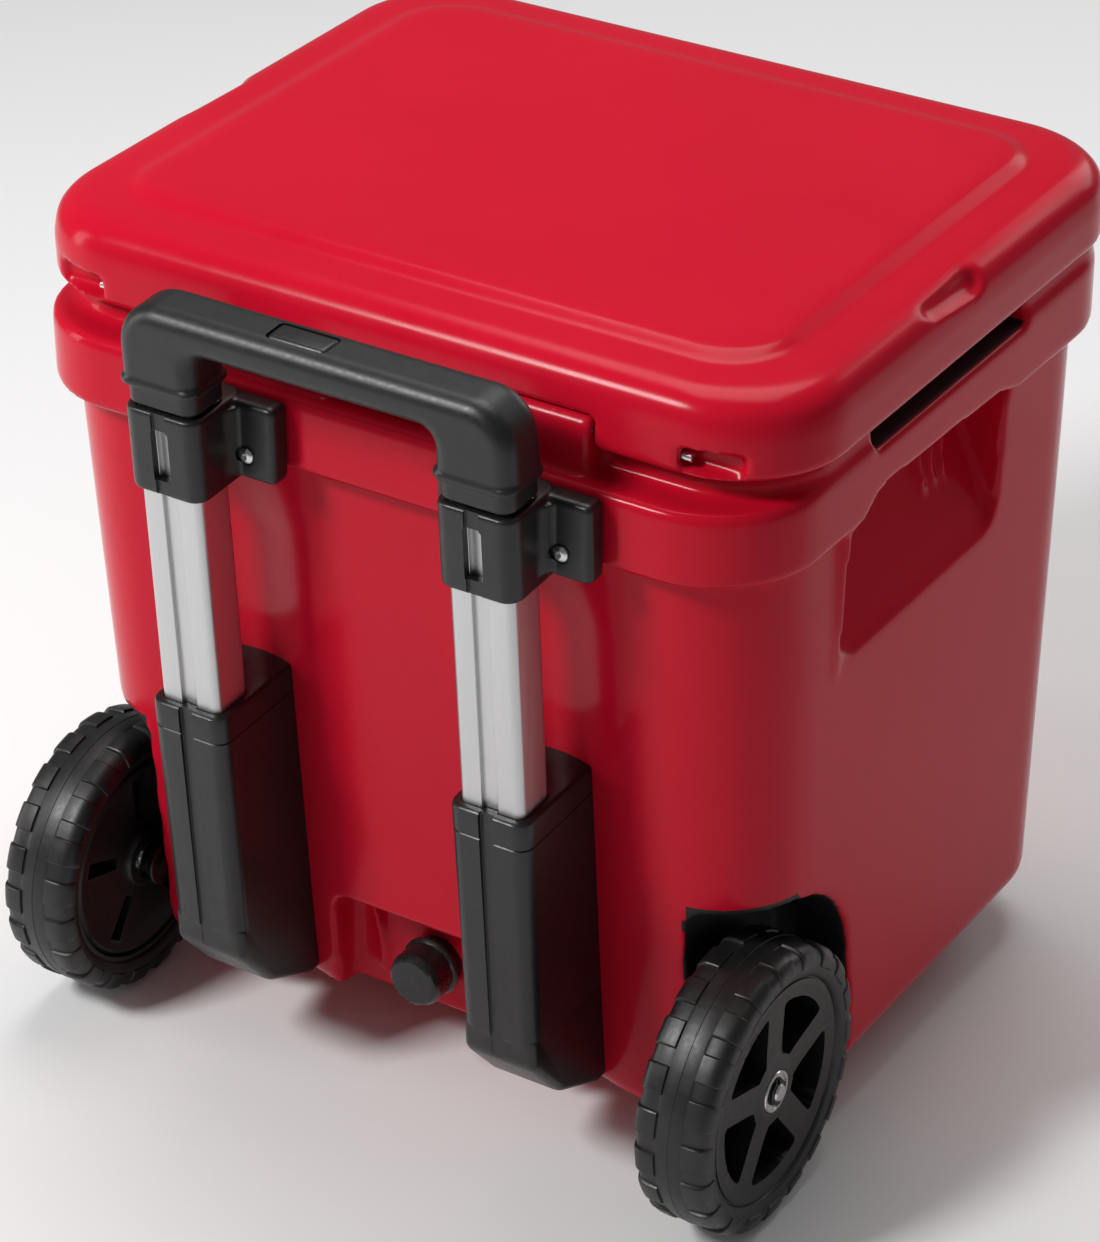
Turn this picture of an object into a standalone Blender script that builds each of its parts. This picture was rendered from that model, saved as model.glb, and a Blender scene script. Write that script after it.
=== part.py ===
"""Wheeled hard cooler with a telescopic handle, as separate parts. Metres, +Z up.

The handle, hinge and wheels are on the -Y side, the latches on the +Y side.
The mirror plane is X = 0 and the wheels stand on Z = 0.
"""
import math

import bmesh
import bpy
from mathutils import Matrix, Vector

# Chest
RIM_HALF_WIDTH = 0.250
RIM_HALF_DEPTH = 0.2205
RIM_BOTTOM = 0.425
LEDGE_TOP = 0.470
RIM_TOP = 0.482
WALL_HALF_WIDTH = 0.241
WALL_REAR_TOP = -0.2085
WALL_REAR_BOTTOM = -0.181
WALL_FRONT_TOP = 0.2085
WALL_FRONT_BOTTOM = 0.192
CHEST_BOTTOM = 0.040
CORNER_RADIUS = 0.062
SKIN = 0.0035
SCALLOP_DEPTH = 0.009
SCALLOP_HALF_WIDTH = 0.052
GAP = 0.0003
CORNER_STEPS = 6

# Inside of the tub
TUB_HALF_WIDTH = 0.183
TUB_REAR = -0.158
TUB_FRONT = 0.160
TUB_FLOOR = 0.066
TUB_RADIUS = 0.040

# Lid
LID_HALF_WIDTH = 0.257
LID_REAR = -0.206
LID_FRONT = 0.213
LID_BOTTOM = 0.4845
LID_TOP = 0.538

# Lid hinge
HINGE_Y = -0.1975
HINGE_Z = 0.4935
KNUCKLE_RADIUS = 0.0105
KNUCKLE_INNER = 0.032
KNUCKLE_OUTER = 0.137
HINGE_PIN_RADIUS = 0.003
HINGE_PIN_INNER = 0.020
HINGE_PIN_OUTER = 0.196

# Telescopic handle: local depth runs from the tube's front face to the chest, local height along it
TUBE_X = 0.1034
TUBE_HALF_WIDTH = 0.0207
TUBE_DEPTH = 0.030
TUBE_RADIUS = 0.005
CHANNEL_HALF_WIDTH = 0.0052
CHANNEL_DEPTH = 0.0025
HANDLE_ORIGIN = (0.0, -0.2635, 0.400)
HANDLE_TILT = math.radians(2.8)
OUTER_WALL = 0.0015
MIDDLE_INSET = 0.0019
MIDDLE_WALL = 0.0013
INNER_INSET = 0.0036
INNER_WALL = 0.0013
OUTER_BOTTOM = -0.285
OUTER_TOP = 0.066
BOOT_BOTTOM = -0.300
BOOT_TOP = -0.128
BOOT_SPREAD = 0.0048
COLLAR_BOTTOM = 0.016
COLLAR_TOP = 0.0685
SCREW_OFFSET = 0.0339
SCREW_HEIGHT = 0.4365
EAR_SHORT = 0.0465
EAR_LONG = 0.0525
EAR_FRONT = -0.2362

# Grip
GRIP_BOTTOM = 0.0702
FERRULE_BOTTOM = 0.084
FERRULE_TOP = 0.088
GRIP_TOP = 0.1335
GRIP_HALF_WIDTH = 0.1290
GRIP_LEG_INNER = 0.0785
GRIP_BAR_HEIGHT = 0.024
GRIP_FRONT = -0.0045
GRIP_BACK = 0.0320
BUTTON_X = -0.012
BUTTON_HALF_WIDTH = 0.020
BUTTON_HALF_DEPTH = 0.0090
BUTTON_DEPTH = 0.0135
ROD_DEPTH = 0.0150
PIN_HEIGHT = -0.252
BOLT_HEIGHT = 0.200

# Wheels
WHEEL_RADIUS = 0.088
SPOKE_HALF_WIDTH = 0.0088
WHEEL_INNER = 0.201
WHEEL_OUTER = 0.251
WHEEL_Y = -0.182
RIM_RADIUS = 0.066
AXLE_RADIUS = 0.00593
BEARING_BORE = 0.006
BEARING_RADIUS = 0.013
AXLE_END = 0.2495
ARCH_RADIUS = 0.103
ARCH_TOP = 0.197
ARCH_BEND = 0.080
ARCH_WALL = 0.190
POCKET_INNER = 0.209
POCKET_DEPTH = 0.032

# Drain
DRAIN_Z = 0.0745
RECESS_HALF_WIDTH = 0.061
RECESS_BACK = -0.160
RECESS_TOP = 0.118

# Latches
LATCH_X = 0.120
LATCH_PIN_Y = 0.2085
LATCH_PIN_Z = 0.506

RED = (0.62, 0.008, 0.028, 1.0)
BLACK = (0.022, 0.022, 0.023, 1.0)
TYRE_BLACK = (0.035, 0.035, 0.035, 1.0)
STEEL = (0.62, 0.62, 0.62, 1.0)
ALUMINIUM = (0.66, 0.66, 0.66, 1.0)
FOAM = (0.85, 0.80, 0.62, 1.0)
GREY = (0.20, 0.20, 0.21, 1.0)

for old in list(bpy.data.objects):
    bpy.data.objects.remove(old, do_unlink=True)


# ---------------------------------------------------------------- helpers

def make_material(name, colour, roughness, metallic=0.0):
    material = bpy.data.materials.new(name)
    material.use_nodes = True
    shader = material.node_tree.nodes["Principled BSDF"]
    shader.inputs["Base Color"].default_value = colour
    shader.inputs["Roughness"].default_value = roughness
    shader.inputs["Metallic"].default_value = metallic
    material.diffuse_color = colour
    return material


def mesh_object(name, vertices, faces):
    mesh = bpy.data.meshes.new(name)
    mesh.from_pydata([Vector(v) for v in vertices], [], faces)
    form = bmesh.new()
    form.from_mesh(mesh)
    bmesh.ops.recalc_face_normals(form, faces=form.faces)
    form.to_mesh(mesh)
    form.free()
    piece = bpy.data.objects.new(name, mesh)
    bpy.context.scene.collection.objects.link(piece)
    return piece


def ring_solid(name, rings):
    """A closed solid through rings of equal point count, with a flat cap at each end."""
    count = len(rings[0])
    vertices = [point for ring in rings for point in ring]
    faces = [tuple(range(count)), tuple(range((len(rings) - 1) * count, len(rings) * count))]
    for level in range(len(rings) - 1):
        base = level * count
        for i in range(count):
            j = (i + 1) % count
            faces.append((base + i, base + j, base + count + j, base + count + i))
    return mesh_object(name, vertices, faces)


def arc(cx, cy, radius, start, end, steps):
    """Points on an arc, angles in degrees, both ends included."""
    points = []
    for i in range(steps + 1):
        angle = math.radians(start + (end - start) * i / steps)
        points.append((cx + radius * math.cos(angle), cy + radius * math.sin(angle)))
    return points


def rounded_outline(half_width, y0, y1, radius, steps=CORNER_STEPS):
    inner = half_width - radius
    outline = []
    outline += arc(inner, y1 - radius, radius, 0, 90, steps)
    outline += arc(-inner, y1 - radius, radius, 90, 180, steps)
    outline += arc(-inner, y0 + radius, radius, 180, 270, steps)
    outline += arc(inner, y0 + radius, radius, 270, 360, steps)
    return outline


def wall_outline(half_width, y0, y1, radius, dip):
    """The chest's outline, with a soft scallop behind each handle tube."""
    inner = half_width - radius
    outline = []
    outline += arc(inner, y1 - radius, radius, 0, 90, CORNER_STEPS)
    outline += arc(-inner, y1 - radius, radius, 90, 180, CORNER_STEPS)
    outline += arc(-inner, y0 + radius, radius, 180, 270, CORNER_STEPS)
    for side in (-1, 1):
        for step in range(11):
            across = (step / 5.0 - 1.0) * SCALLOP_HALF_WIDTH
            depth = dip * 0.5 * (1.0 + math.cos(math.pi * across / SCALLOP_HALF_WIDTH))
            outline.append((side * TUBE_X + across, y0 + depth))
    outline += arc(inner, y0 + radius, radius, 270, 360, CORNER_STEPS)
    return outline


def loft(name, sections, outline=rounded_outline):
    """A solid through horizontal sections: height, then the outline's own values."""
    rings = []
    for height, *values in sections:
        rings.append([(x, y, height) for x, y in outline(*values)])
    return ring_solid(name, rings)


def box(name, x, y, z, bevel=0.0, segments=2):
    """A box between pairs of limits, with all its edges rounded by the bevel."""
    vertices = [(x[i], y[j], z[k]) for i in (0, 1) for j in (0, 1) for k in (0, 1)]
    faces = [(0, 1, 3, 2), (4, 6, 7, 5), (0, 4, 5, 1), (2, 3, 7, 6), (0, 2, 6, 4), (1, 5, 7, 3)]
    piece = mesh_object(name, vertices, faces)
    if bevel:
        round_edges(piece, bevel, segments)
    return piece


def round_edges(piece, width, segments=2):
    form = bmesh.new()
    form.from_mesh(piece.data)
    bmesh.ops.bevel(form, geom=form.edges[:], offset=width, segments=segments, profile=0.5, affect='EDGES')
    form.to_mesh(piece.data)
    form.free()


AXES = {
    "x": lambda a, b, along: (along, a, b),
    "y": lambda a, b, along: (b, along, a),
    "z": lambda a, b, along: (a, b, along),
}


def turned(name, profile, axis, centre, steps=32):
    """A solid turned about an axis: profile is a closed list of (radius, position along the axis)."""
    place = AXES[axis]
    vertices = []
    for step in range(steps):
        angle = 2 * math.pi * step / steps
        for radius, along in profile:
            point = place(radius * math.cos(angle), radius * math.sin(angle), along)
            vertices.append(tuple(point[i] + centre[i] for i in range(3)))
    count = len(profile)
    faces = []
    for step in range(steps):
        here = step * count
        there = ((step + 1) % steps) * count
        for i in range(count):
            j = (i + 1) % count
            faces.append((here + i, here + j, there + j, there + i))
    piece = mesh_object(name, vertices, faces)
    form = bmesh.new()
    form.from_mesh(piece.data)
    bmesh.ops.remove_doubles(form, verts=form.verts, dist=1e-7)
    bmesh.ops.dissolve_degenerate(form, edges=form.edges, dist=1e-7)
    loose = [edge for edge in form.edges if not edge.link_faces]
    bmesh.ops.delete(form, geom=loose, context='EDGES')
    bmesh.ops.recalc_face_normals(form, faces=form.faces)
    form.to_mesh(piece.data)
    form.free()
    return piece


def rod(name, radius, start, end, axis, centre, steps=16):
    """A plain cylinder between two positions along an axis."""
    place = AXES[axis]
    rings = []
    for along in (start, end):
        ring = []
        for step in range(steps):
            angle = 2 * math.pi * step / steps
            point = place(radius * math.cos(angle), radius * math.sin(angle), along)
            ring.append(tuple(point[i] + centre[i] for i in range(3)))
        rings.append(ring)
    return ring_solid(name, rings)


def combine(target, tool, operation):
    """Apply a Boolean for good and remove the tool."""
    modifier = target.modifiers.new("boolean", 'BOOLEAN')
    modifier.object = tool
    modifier.operation = operation
    modifier.solver = 'EXACT'
    bpy.context.view_layer.update()
    graph = bpy.context.evaluated_depsgraph_get()
    result = bpy.data.meshes.new_from_object(target.evaluated_get(graph))
    target.modifiers.clear()
    target.data = result
    bpy.data.objects.remove(tool, do_unlink=True)
    return target


def cut(target, tool):
    return combine(target, tool, 'DIFFERENCE')


def add(target, tool):
    return combine(target, tool, 'UNION')


def mirrored(piece, name):
    """A second piece, mirrored in the plane X = 0."""
    mesh = piece.data.copy()
    mesh.transform(Matrix.Scale(-1, 4, (1, 0, 0)))
    mesh.flip_normals()
    twin = bpy.data.objects.new(name, mesh)
    bpy.context.scene.collection.objects.link(twin)
    return twin


def finish(piece, material, name=None, parent=None):
    if name:
        piece.name = name
    piece.data.materials.clear()
    piece.data.materials.append(material)
    if parent:
        piece.parent = parent
    return piece


# ---------------------------------------------------------------- the tilted frame of the handle

tilt_matrix = Matrix.Translation(HANDLE_ORIGIN) @ Matrix.Rotation(HANDLE_TILT, 4, 'X')


def to_world(piece):
    """Move a piece made in the handle's own frame into the row's frame."""
    piece.data.transform(tilt_matrix)
    return piece


def tube_outline(centre, inset):
    """The tube's outline, moved inwards by the inset: a rounded rectangle with a front channel."""
    half = TUBE_HALF_WIDTH - inset
    front = inset
    back = TUBE_DEPTH - inset
    radius = TUBE_RADIUS - min(inset, TUBE_RADIUS - 0.0008)
    channel = CHANNEL_HALF_WIDTH + inset
    floor = front + CHANNEL_DEPTH
    outline = []
    outline += arc(half - radius, back - radius, radius, 0, 90, 4)
    outline += arc(-half + radius, back - radius, radius, 90, 180, 4)
    outline += arc(-half + radius, front + radius, radius, 180, 270, 4)
    outline += [(-channel, front), (-channel, floor), (channel, floor), (channel, front)]
    outline += arc(half - radius, front + radius, radius, 270, 360, 4)
    return [(x + centre, y) for x, y in outline]


def tube_solid(name, centre, inset, bottom, top):
    rings = []
    for height in (bottom, top):
        rings.append([(x, y, height) for x, y in tube_outline(centre, inset)])
    return ring_solid(name, rings)


def tube(name, centre, inset, wall, bottom, top):
    """An open-ended tube: its outer and inner walls are joined by a flat ring at each end."""
    outer = tube_outline(centre, inset)
    inner = tube_outline(centre, inset + wall)
    count = len(outer)
    vertices = []
    for outline, height in ((outer, bottom), (outer, top), (inner, top), (inner, bottom)):
        vertices += [(x, y, height) for x, y in outline]
    faces = []
    for level in range(4):
        here = level * count
        there = ((level + 1) % 4) * count
        for i in range(count):
            j = (i + 1) % count
            faces.append((here + i, here + j, there + j, there + i))
    return mesh_object(name, vertices, faces)


# ---------------------------------------------------------------- chest

def wall_sections(grow):
    """Sections of the chest's wall below the rim, moved outwards by the given amount."""
    foot = 0.007
    return [
        (CHEST_BOTTOM - grow, WALL_HALF_WIDTH - 0.004 - foot + grow, WALL_REAR_BOTTOM + foot - grow,
         WALL_FRONT_BOTTOM - foot + grow, CORNER_RADIUS - 0.012, SCALLOP_DEPTH),
        (CHEST_BOTTOM + 0.002, WALL_HALF_WIDTH - 0.0055 + grow, WALL_REAR_BOTTOM + 0.0020 - grow,
         WALL_FRONT_BOTTOM - 0.0020 + grow, CORNER_RADIUS - 0.008, SCALLOP_DEPTH),
        (CHEST_BOTTOM + foot, WALL_HALF_WIDTH - 0.004 + grow, WALL_REAR_BOTTOM - grow,
         WALL_FRONT_BOTTOM + grow, CORNER_RADIUS - 0.006, SCALLOP_DEPTH),
        (RIM_BOTTOM - 0.055, WALL_HALF_WIDTH + grow, -0.2045 - grow,
         0.2065 + grow, CORNER_RADIUS, SCALLOP_DEPTH),
        (RIM_BOTTOM + 0.001, WALL_HALF_WIDTH + grow, WALL_REAR_TOP - grow,
         WALL_FRONT_TOP + grow, CORNER_RADIUS, 0.001),
    ]


def wall_envelope(grow):
    return loft("envelope", wall_sections(grow), wall_outline)


def rim_solid():
    edge = 0.004
    rim = loft("rim", [
        (RIM_BOTTOM, RIM_HALF_WIDTH - 0.002, -RIM_HALF_DEPTH + 0.002, RIM_HALF_DEPTH - 0.002, 0.064),
        (RIM_BOTTOM + 0.002, RIM_HALF_WIDTH, -RIM_HALF_DEPTH, RIM_HALF_DEPTH, 0.065),
        (LEDGE_TOP - edge, RIM_HALF_WIDTH, -RIM_HALF_DEPTH, RIM_HALF_DEPTH, 0.065),
        (LEDGE_TOP - 0.0012, RIM_HALF_WIDTH - 0.0012, -RIM_HALF_DEPTH + 0.0012, RIM_HALF_DEPTH - 0.0012, 0.064),
        (LEDGE_TOP, RIM_HALF_WIDTH - edge, -RIM_HALF_DEPTH + edge, RIM_HALF_DEPTH - edge, 0.061),
    ])
    upper = loft("upper", [
        (LEDGE_TOP - 0.004, 0.2465, -0.1935, 0.2165, 0.055),
        (RIM_TOP - 0.002, 0.2465, -0.1935, 0.2165, 0.055),
        (RIM_TOP, 0.2445, -0.1915, 0.2145, 0.053),
    ])
    return add(rim, upper)


def knuckle(name, x0, x1):
    """A body knuckle: a rounded bar on the ledge around the hinge pin."""
    profile = arc(HINGE_Y, HINGE_Z, KNUCKLE_RADIUS, 0, 180, 8)
    profile.append((HINGE_Y - KNUCKLE_RADIUS, LEDGE_TOP - 0.003))
    profile.append((HINGE_Y + KNUCKLE_RADIUS, LEDGE_TOP - 0.003))
    rings = [[(x, y, z) for y, z in profile] for x in (x0, x1)]
    return ring_solid(name, rings)


def arch_cutter(side, grow):
    """A wheel arch: flat on top and rounded at the front, open to the side, the rear and the ground."""
    bend = ARCH_BEND + grow
    front = WHEEL_Y + ARCH_RADIUS + grow
    profile = [(WHEEL_Y - 0.2, -0.02), (WHEEL_Y - 0.2, ARCH_TOP + grow)]
    profile += arc(front - 0.0045 - bend, ARCH_TOP + grow - bend, bend, 90, 0, 10)
    profile += [(front, WHEEL_RADIUS), (front, -0.02)]
    rings = [[(side * x, y, z) for y, z in profile] for x in (ARCH_WALL - grow, 0.30)]
    return ring_solid("arch", rings)


def pocket_loft(side, sections):
    rings = []
    for height, inside, outside, rear, front in sections:
        rings.append([(side * inside, rear, height), (side * outside, rear, height), (side * outside, front, height),
                      (side * inside, front, height)])
    return ring_solid("pocket", rings)


def pocket_cutter(side, grow):
    """A wedge-shaped hand pocket in the side wall, deepest where it goes up behind the rim's grab bar."""
    inner = POCKET_INNER - grow
    sections = []
    for height, depth, rear, front in (
            (0.3340 - grow, 0.0020, -0.0945, 0.0580), (0.3375, 0.0036, -0.1030, 0.0680), (0.3440, 0.0068, -0.1090, 0.0740),
            (0.3520, 0.0106, -0.1120, 0.0765), (0.3960, POCKET_DEPTH, -0.1110, 0.0795),
            (0.4400 + grow, POCKET_DEPTH, -0.1100, 0.0820)):
        sections.append((height, max(WALL_HALF_WIDTH - depth - grow * 1.4, inner), rear - grow, front + grow))
    outside = 0.2355 + grow
    pocket = pocket_loft(side, [(height, inside, outside, rear, front) for height, inside, rear, front in sections])
    if not grow:
        mouth = [(min(height, RIM_BOTTOM), inside, 0.262, rear, front) for height, inside, rear, front in sections]
        add(pocket, pocket_loft(side, mouth))
        lip = [(-0.1150, 0.4180), (0.0850, 0.4180), (0.0850, 0.4235), (0.0560, 0.4330), (-0.0760, 0.4380)]
        add(pocket, ring_solid("lip", [[(side * x, y, z) for y, z in lip] for x in (0.2300, 0.2620)]))
    return pocket


def recess_cutter(grow):
    half = RECESS_HALF_WIDTH + grow
    profile = [(-half, -0.02), (-half, RECESS_TOP - 0.016)]
    profile += arc(-half + 0.012, RECESS_TOP - 0.016 + grow, 0.012, 180, 90, 4)
    profile += arc(half - 0.012, RECESS_TOP - 0.016 + grow, 0.012, 90, 0, 4)
    profile += [(half, -0.02)]
    rings = [[(x, y, z) for x, z in profile] for y in (-0.30, RECESS_BACK + grow)]
    return ring_solid("recess", rings)


def tub_cutter(grow):
    return loft("tub", [
        (TUB_FLOOR - grow, TUB_HALF_WIDTH - 0.012 + grow, TUB_REAR + 0.014 - grow, TUB_FRONT - 0.010 + grow, 0.030),
        (TUB_FLOOR + 0.012, TUB_HALF_WIDTH - 0.005 + grow, TUB_REAR + 0.005 - grow, TUB_FRONT - 0.003 + grow, 0.036),
        (RIM_TOP - 0.020, TUB_HALF_WIDTH + grow, TUB_REAR - grow, TUB_FRONT + grow, TUB_RADIUS),
        (0.60, TUB_HALF_WIDTH + 0.002 + grow, TUB_REAR - 0.002 - grow, TUB_FRONT + 0.002 + grow, TUB_RADIUS),
    ])


def foam_space(name, grow):
    """The room inside the double wall; a negative amount makes the foam core that fits in it."""
    inset = SKIN - grow
    space = loft(name, [
        (CHEST_BOTTOM + inset, WALL_HALF_WIDTH - 0.006 - inset, WALL_REAR_BOTTOM + 0.012 + inset,
         WALL_FRONT_BOTTOM - 0.004 - inset, 0.050),
        (LEDGE_TOP + 0.0055 + grow, WALL_HALF_WIDTH - inset, WALL_REAR_TOP + 0.012 + inset,
         WALL_FRONT_TOP - inset, 0.056),
    ])
    cut(space, tub_cutter(SKIN - grow))
    for side in (-1, 1):
        cut(space, arch_cutter(side, SKIN - grow))
        cut(space, pocket_cutter(side, SKIN - grow))
        cut(space, side_corner_cutter(side, SKIN - grow))
        cut(space, slot_cutter(side, SKIN - grow))
    cut(space, recess_cutter(SKIN - grow))
    cut(space, rod("drain_boss", 0.0100 + SKIN - grow, -0.20, TUB_REAR + 0.04, "y", (0, 0, DRAIN_Z), 24))
    return space


def slot_cutter(side, grow):
    """The long finger slot in the top of the rim, under the lid."""
    x = (side * (0.2335 - grow), side * 0.260)
    return box("slot", (min(x), max(x)), (-0.094 - grow, 0.086 + grow), (0.4665 - grow, 0.50), 0.003)


def side_corner_cutter(side, grow):
    """Keeps the foam out of the thin wall between a wheel arch and the tub."""
    x = (side * (TUB_HALF_WIDTH - 0.02), side * 0.30)
    return box("corner", (min(x), max(x)), (-0.30, WHEEL_Y + ARCH_RADIUS + grow), (0.0, ARCH_TOP + grow))


PORT_X, PORT_Y, PORT_RADIUS = 0.0, 0.090, 0.012

body = loft("body_shell", wall_sections(0.0), wall_outline)
add(body, rim_solid())
for side in (-1, 1):
    ends = (side * KNUCKLE_INNER, side * KNUCKLE_OUTER)
    add(body, knuckle("knuckle", min(ends), max(ends)))
cut(body, tub_cutter(0.0))
for side in (-1, 1):
    cut(body, arch_cutter(side, 0.0))
    cut(body, pocket_cutter(side, 0.0))
    cut(body, slot_cutter(side, 0.0))
cut(body, recess_cutter(0.0))
for side in (-1, 1):
    ends = (side * 0.010, side * 0.205)
    cut(body, rod("pin_hole", HINGE_PIN_RADIUS + 0.0004, min(ends), max(ends), "x", (0, HINGE_Y, HINGE_Z)))
    ends = (side * 0.186, side * 0.20)
    cut(body, rod("axle_hole", 0.0078, min(ends) - 0.0, max(ends), "x", (0, WHEEL_Y, WHEEL_RADIUS)))
cut(body, rod("drain_hole", 0.0098, -0.30, TUB_REAR + 0.04, "y", (0, 0, DRAIN_Z), 24))
cut(body, foam_space("foam_room", 0.0))
cut(body, rod("port", PORT_RADIUS, CHEST_BOTTOM - 0.01, CHEST_BOTTOM + SKIN + 0.004, "z", (PORT_X, PORT_Y, 0), 24))

core = foam_space("body_foam", -GAP)
plug = rod("body_foam_plug", PORT_RADIUS - GAP, CHEST_BOTTOM + 0.0002, CHEST_BOTTOM + SKIN - 0.0003, "z",
           (PORT_X, PORT_Y, 0), 24)

for side in (-1, 1):
    for offset in (-SCREW_OFFSET, SCREW_OFFSET):
        centre = (side * TUBE_X + offset, 0, SCREW_HEIGHT)
        cut(body, rod("screw_hole", 0.0026, -0.23, -0.205, "y", centre, 12))
    centre = (side * TUBE_X, 0, BOLT_HEIGHT)
    cut(body, rod("bolt_hole", 0.0038, -0.22, -0.1667, "y", centre, 12))
    cut(core, rod("bolt_room", 0.0042, -0.20, -0.1660, "y", centre, 12))


# ---------------------------------------------------------------- lid

def lid_outline_sections():
    return [
        (LID_BOTTOM, 0.2535, LID_REAR + 0.0035, LID_FRONT - 0.0035, 0.062),
        (LID_BOTTOM + 0.0035, LID_HALF_WIDTH - 0.0005, LID_REAR + 0.0005, LID_FRONT - 0.0005, 0.065),
        (LID_BOTTOM + 0.0245, LID_HALF_WIDTH, LID_REAR, LID_FRONT, 0.066),
        (0.5180, LID_HALF_WIDTH - 0.0012, LID_REAR + 0.0012, LID_FRONT - 0.0012, 0.066),
        (0.5250, LID_HALF_WIDTH - 0.0045, LID_REAR + 0.0045, LID_FRONT - 0.0045, 0.064),
        (0.5300, LID_HALF_WIDTH - 0.0105, LID_REAR + 0.0105, LID_FRONT - 0.0105, 0.060),
        (0.5323, LID_HALF_WIDTH - 0.0190, LID_REAR + 0.0190, LID_FRONT - 0.0190, 0.054),
        (0.5335, LID_HALF_WIDTH - 0.0400, LID_REAR + 0.0400, LID_FRONT - 0.0400, 0.040),
        (0.5362, LID_HALF_WIDTH - 0.0460, LID_REAR + 0.0460, LID_FRONT - 0.0460, 0.035),
        (LID_TOP, LID_HALF_WIDTH - 0.0520, LID_REAR + 0.0520, LID_FRONT - 0.0520, 0.030),
    ]


LID_PLUG_X, LID_PLUG_Y = 0.0, 0.0
LID_CORE_HALF_WIDTH = 0.165
LIP_BOTTOM = 0.474

lid = loft("lid_shell", lid_outline_sections())
add(lid, loft("lip", [
    (LIP_BOTTOM, 0.170, -0.146, 0.148, 0.034),
    (LIP_BOTTOM + 0.004, 0.1735, -0.1495, 0.1515, 0.036),
    (LID_BOTTOM + 0.004, 0.1735, -0.1495, 0.1515, 0.036),
]))
for side in (-1, 1):
    ends = (side * (KNUCKLE_INNER - 0.001), side * (KNUCKLE_OUTER + 0.001))
    room = arc(HINGE_Y, HINGE_Z, KNUCKLE_RADIUS + 0.0012, 90, 0, 8)
    room += [(HINGE_Y + KNUCKLE_RADIUS + 0.0012, LID_BOTTOM - 0.01), (-0.23, LID_BOTTOM - 0.01)]
    room += [(-0.23, HINGE_Z + KNUCKLE_RADIUS + 0.0012)]
    rings = [[(x, y, z) for y, z in room] for x in (min(ends), max(ends))]
    cut(lid, ring_solid("knuckle_room", rings))
    ends = (side * (HINGE_PIN_INNER - 0.012), side * 0.210)
    cut(lid, rod("pin_hole", HINGE_PIN_RADIUS + 0.0004, min(ends), max(ends), "x", (0, HINGE_Y, HINGE_Z)))
    pocket = (side * 0.190, side * 0.226)
    cut(lid, box("corner_pocket", (min(pocket), max(pocket)), (-0.23, HINGE_Y + 0.006), (0.4875, 0.5005), 0.002))
    notch = (side * 0.2475, side * 0.270)
    cut(lid, box("side_notch", (min(notch), max(notch)), (-0.050, 0.030), (0.5090, 0.56), 0.004))
    latch = (side * LATCH_X - 0.0150, side * LATCH_X + 0.0150)
    cut(lid, box("latch_room", latch, (LATCH_PIN_Y - 0.0085, 0.230), (0.470, 0.5165), 0.0015))
    ends = (side * LATCH_X - 0.022, side * LATCH_X + 0.022)
    cut(lid, rod("latch_pin_hole", 0.0024, ends[0], ends[1], "x", (0, LATCH_PIN_Y, LATCH_PIN_Z)))


def lid_foam_space(name, grow):
    inset = SKIN - grow
    return loft(name, [
        (LIP_BOTTOM + inset, LID_CORE_HALF_WIDTH - 0.002, -0.140, 0.142, 0.030),
        (LID_BOTTOM + 0.006, LID_CORE_HALF_WIDTH, -0.142, 0.144, 0.030),
        (0.5325 - inset, LID_CORE_HALF_WIDTH + grow, -0.142 - grow, 0.144 + grow, 0.030),
        (LID_TOP - 0.0005 - inset, LID_CORE_HALF_WIDTH - 0.008 + grow, -0.134 - grow, 0.136 + grow, 0.026),
    ])


def lid_rim_space(name, grow):
    """Lightens the lid's edge: a ring of foam room outside the core."""
    wide = loft(name, [
        (LID_BOTTOM + 0.0045 - grow, 0.2460 + grow, -0.1800 - grow, 0.1930 + grow, 0.050),
        (0.5230 + grow, 0.2440 + grow, -0.1800 - grow, 0.1930 + grow, 0.050),
        (0.5275 + grow, 0.2340 + grow, -0.1760 - grow, 0.1860 + grow, 0.044),
    ])
    for side in (-1, 1):
        notch = (side * (0.2475 - 0.0035 + grow), side * 0.270)
        cut(wide, box("notch", (min(notch), max(notch)), (-0.054, 0.034), (0.480, 0.56)))
    return wide


def lid_room(name, grow):
    return add(lid_foam_space(name, grow), lid_rim_space("edge_room", grow))


cut(lid, lid_room("foam_room", 0.0))
cut(lid, rod("lid_port", PORT_RADIUS, LIP_BOTTOM - 0.01, LIP_BOTTOM + 0.006, "z", (LID_PLUG_X, LID_PLUG_Y, 0), 24))
lid_core = lid_room("lid_foam", -GAP)
lid_plug = rod("lid_foam_plug", PORT_RADIUS - GAP, LIP_BOTTOM + 0.0002, LIP_BOTTOM + SKIN - 0.0004, "z",
               (LID_PLUG_X, LID_PLUG_Y, 0), 24)

gasket = loft("lid_gasket", [
    (RIM_TOP + GAP, 0.1925, -0.1675, 0.1695, 0.046),
    (LID_BOTTOM - GAP, 0.1925, -0.1675, 0.1695, 0.046),
])
cut(gasket, loft("gasket_hole", [(0.47, 0.1865, -0.1615, 0.1635, 0.042), (0.50, 0.1865, -0.1615, 0.1635, 0.042)]))

hinge_pins = []
for side, label in ((-1, "left"), (1, "right")):
    ends = (side * HINGE_PIN_INNER, side * HINGE_PIN_OUTER)
    hinge_pins.append(rod("hinge_pin_" + label, HINGE_PIN_RADIUS, min(ends), max(ends), "x", (0, HINGE_Y, HINGE_Z)))


# ---------------------------------------------------------------- latches on the front

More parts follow.
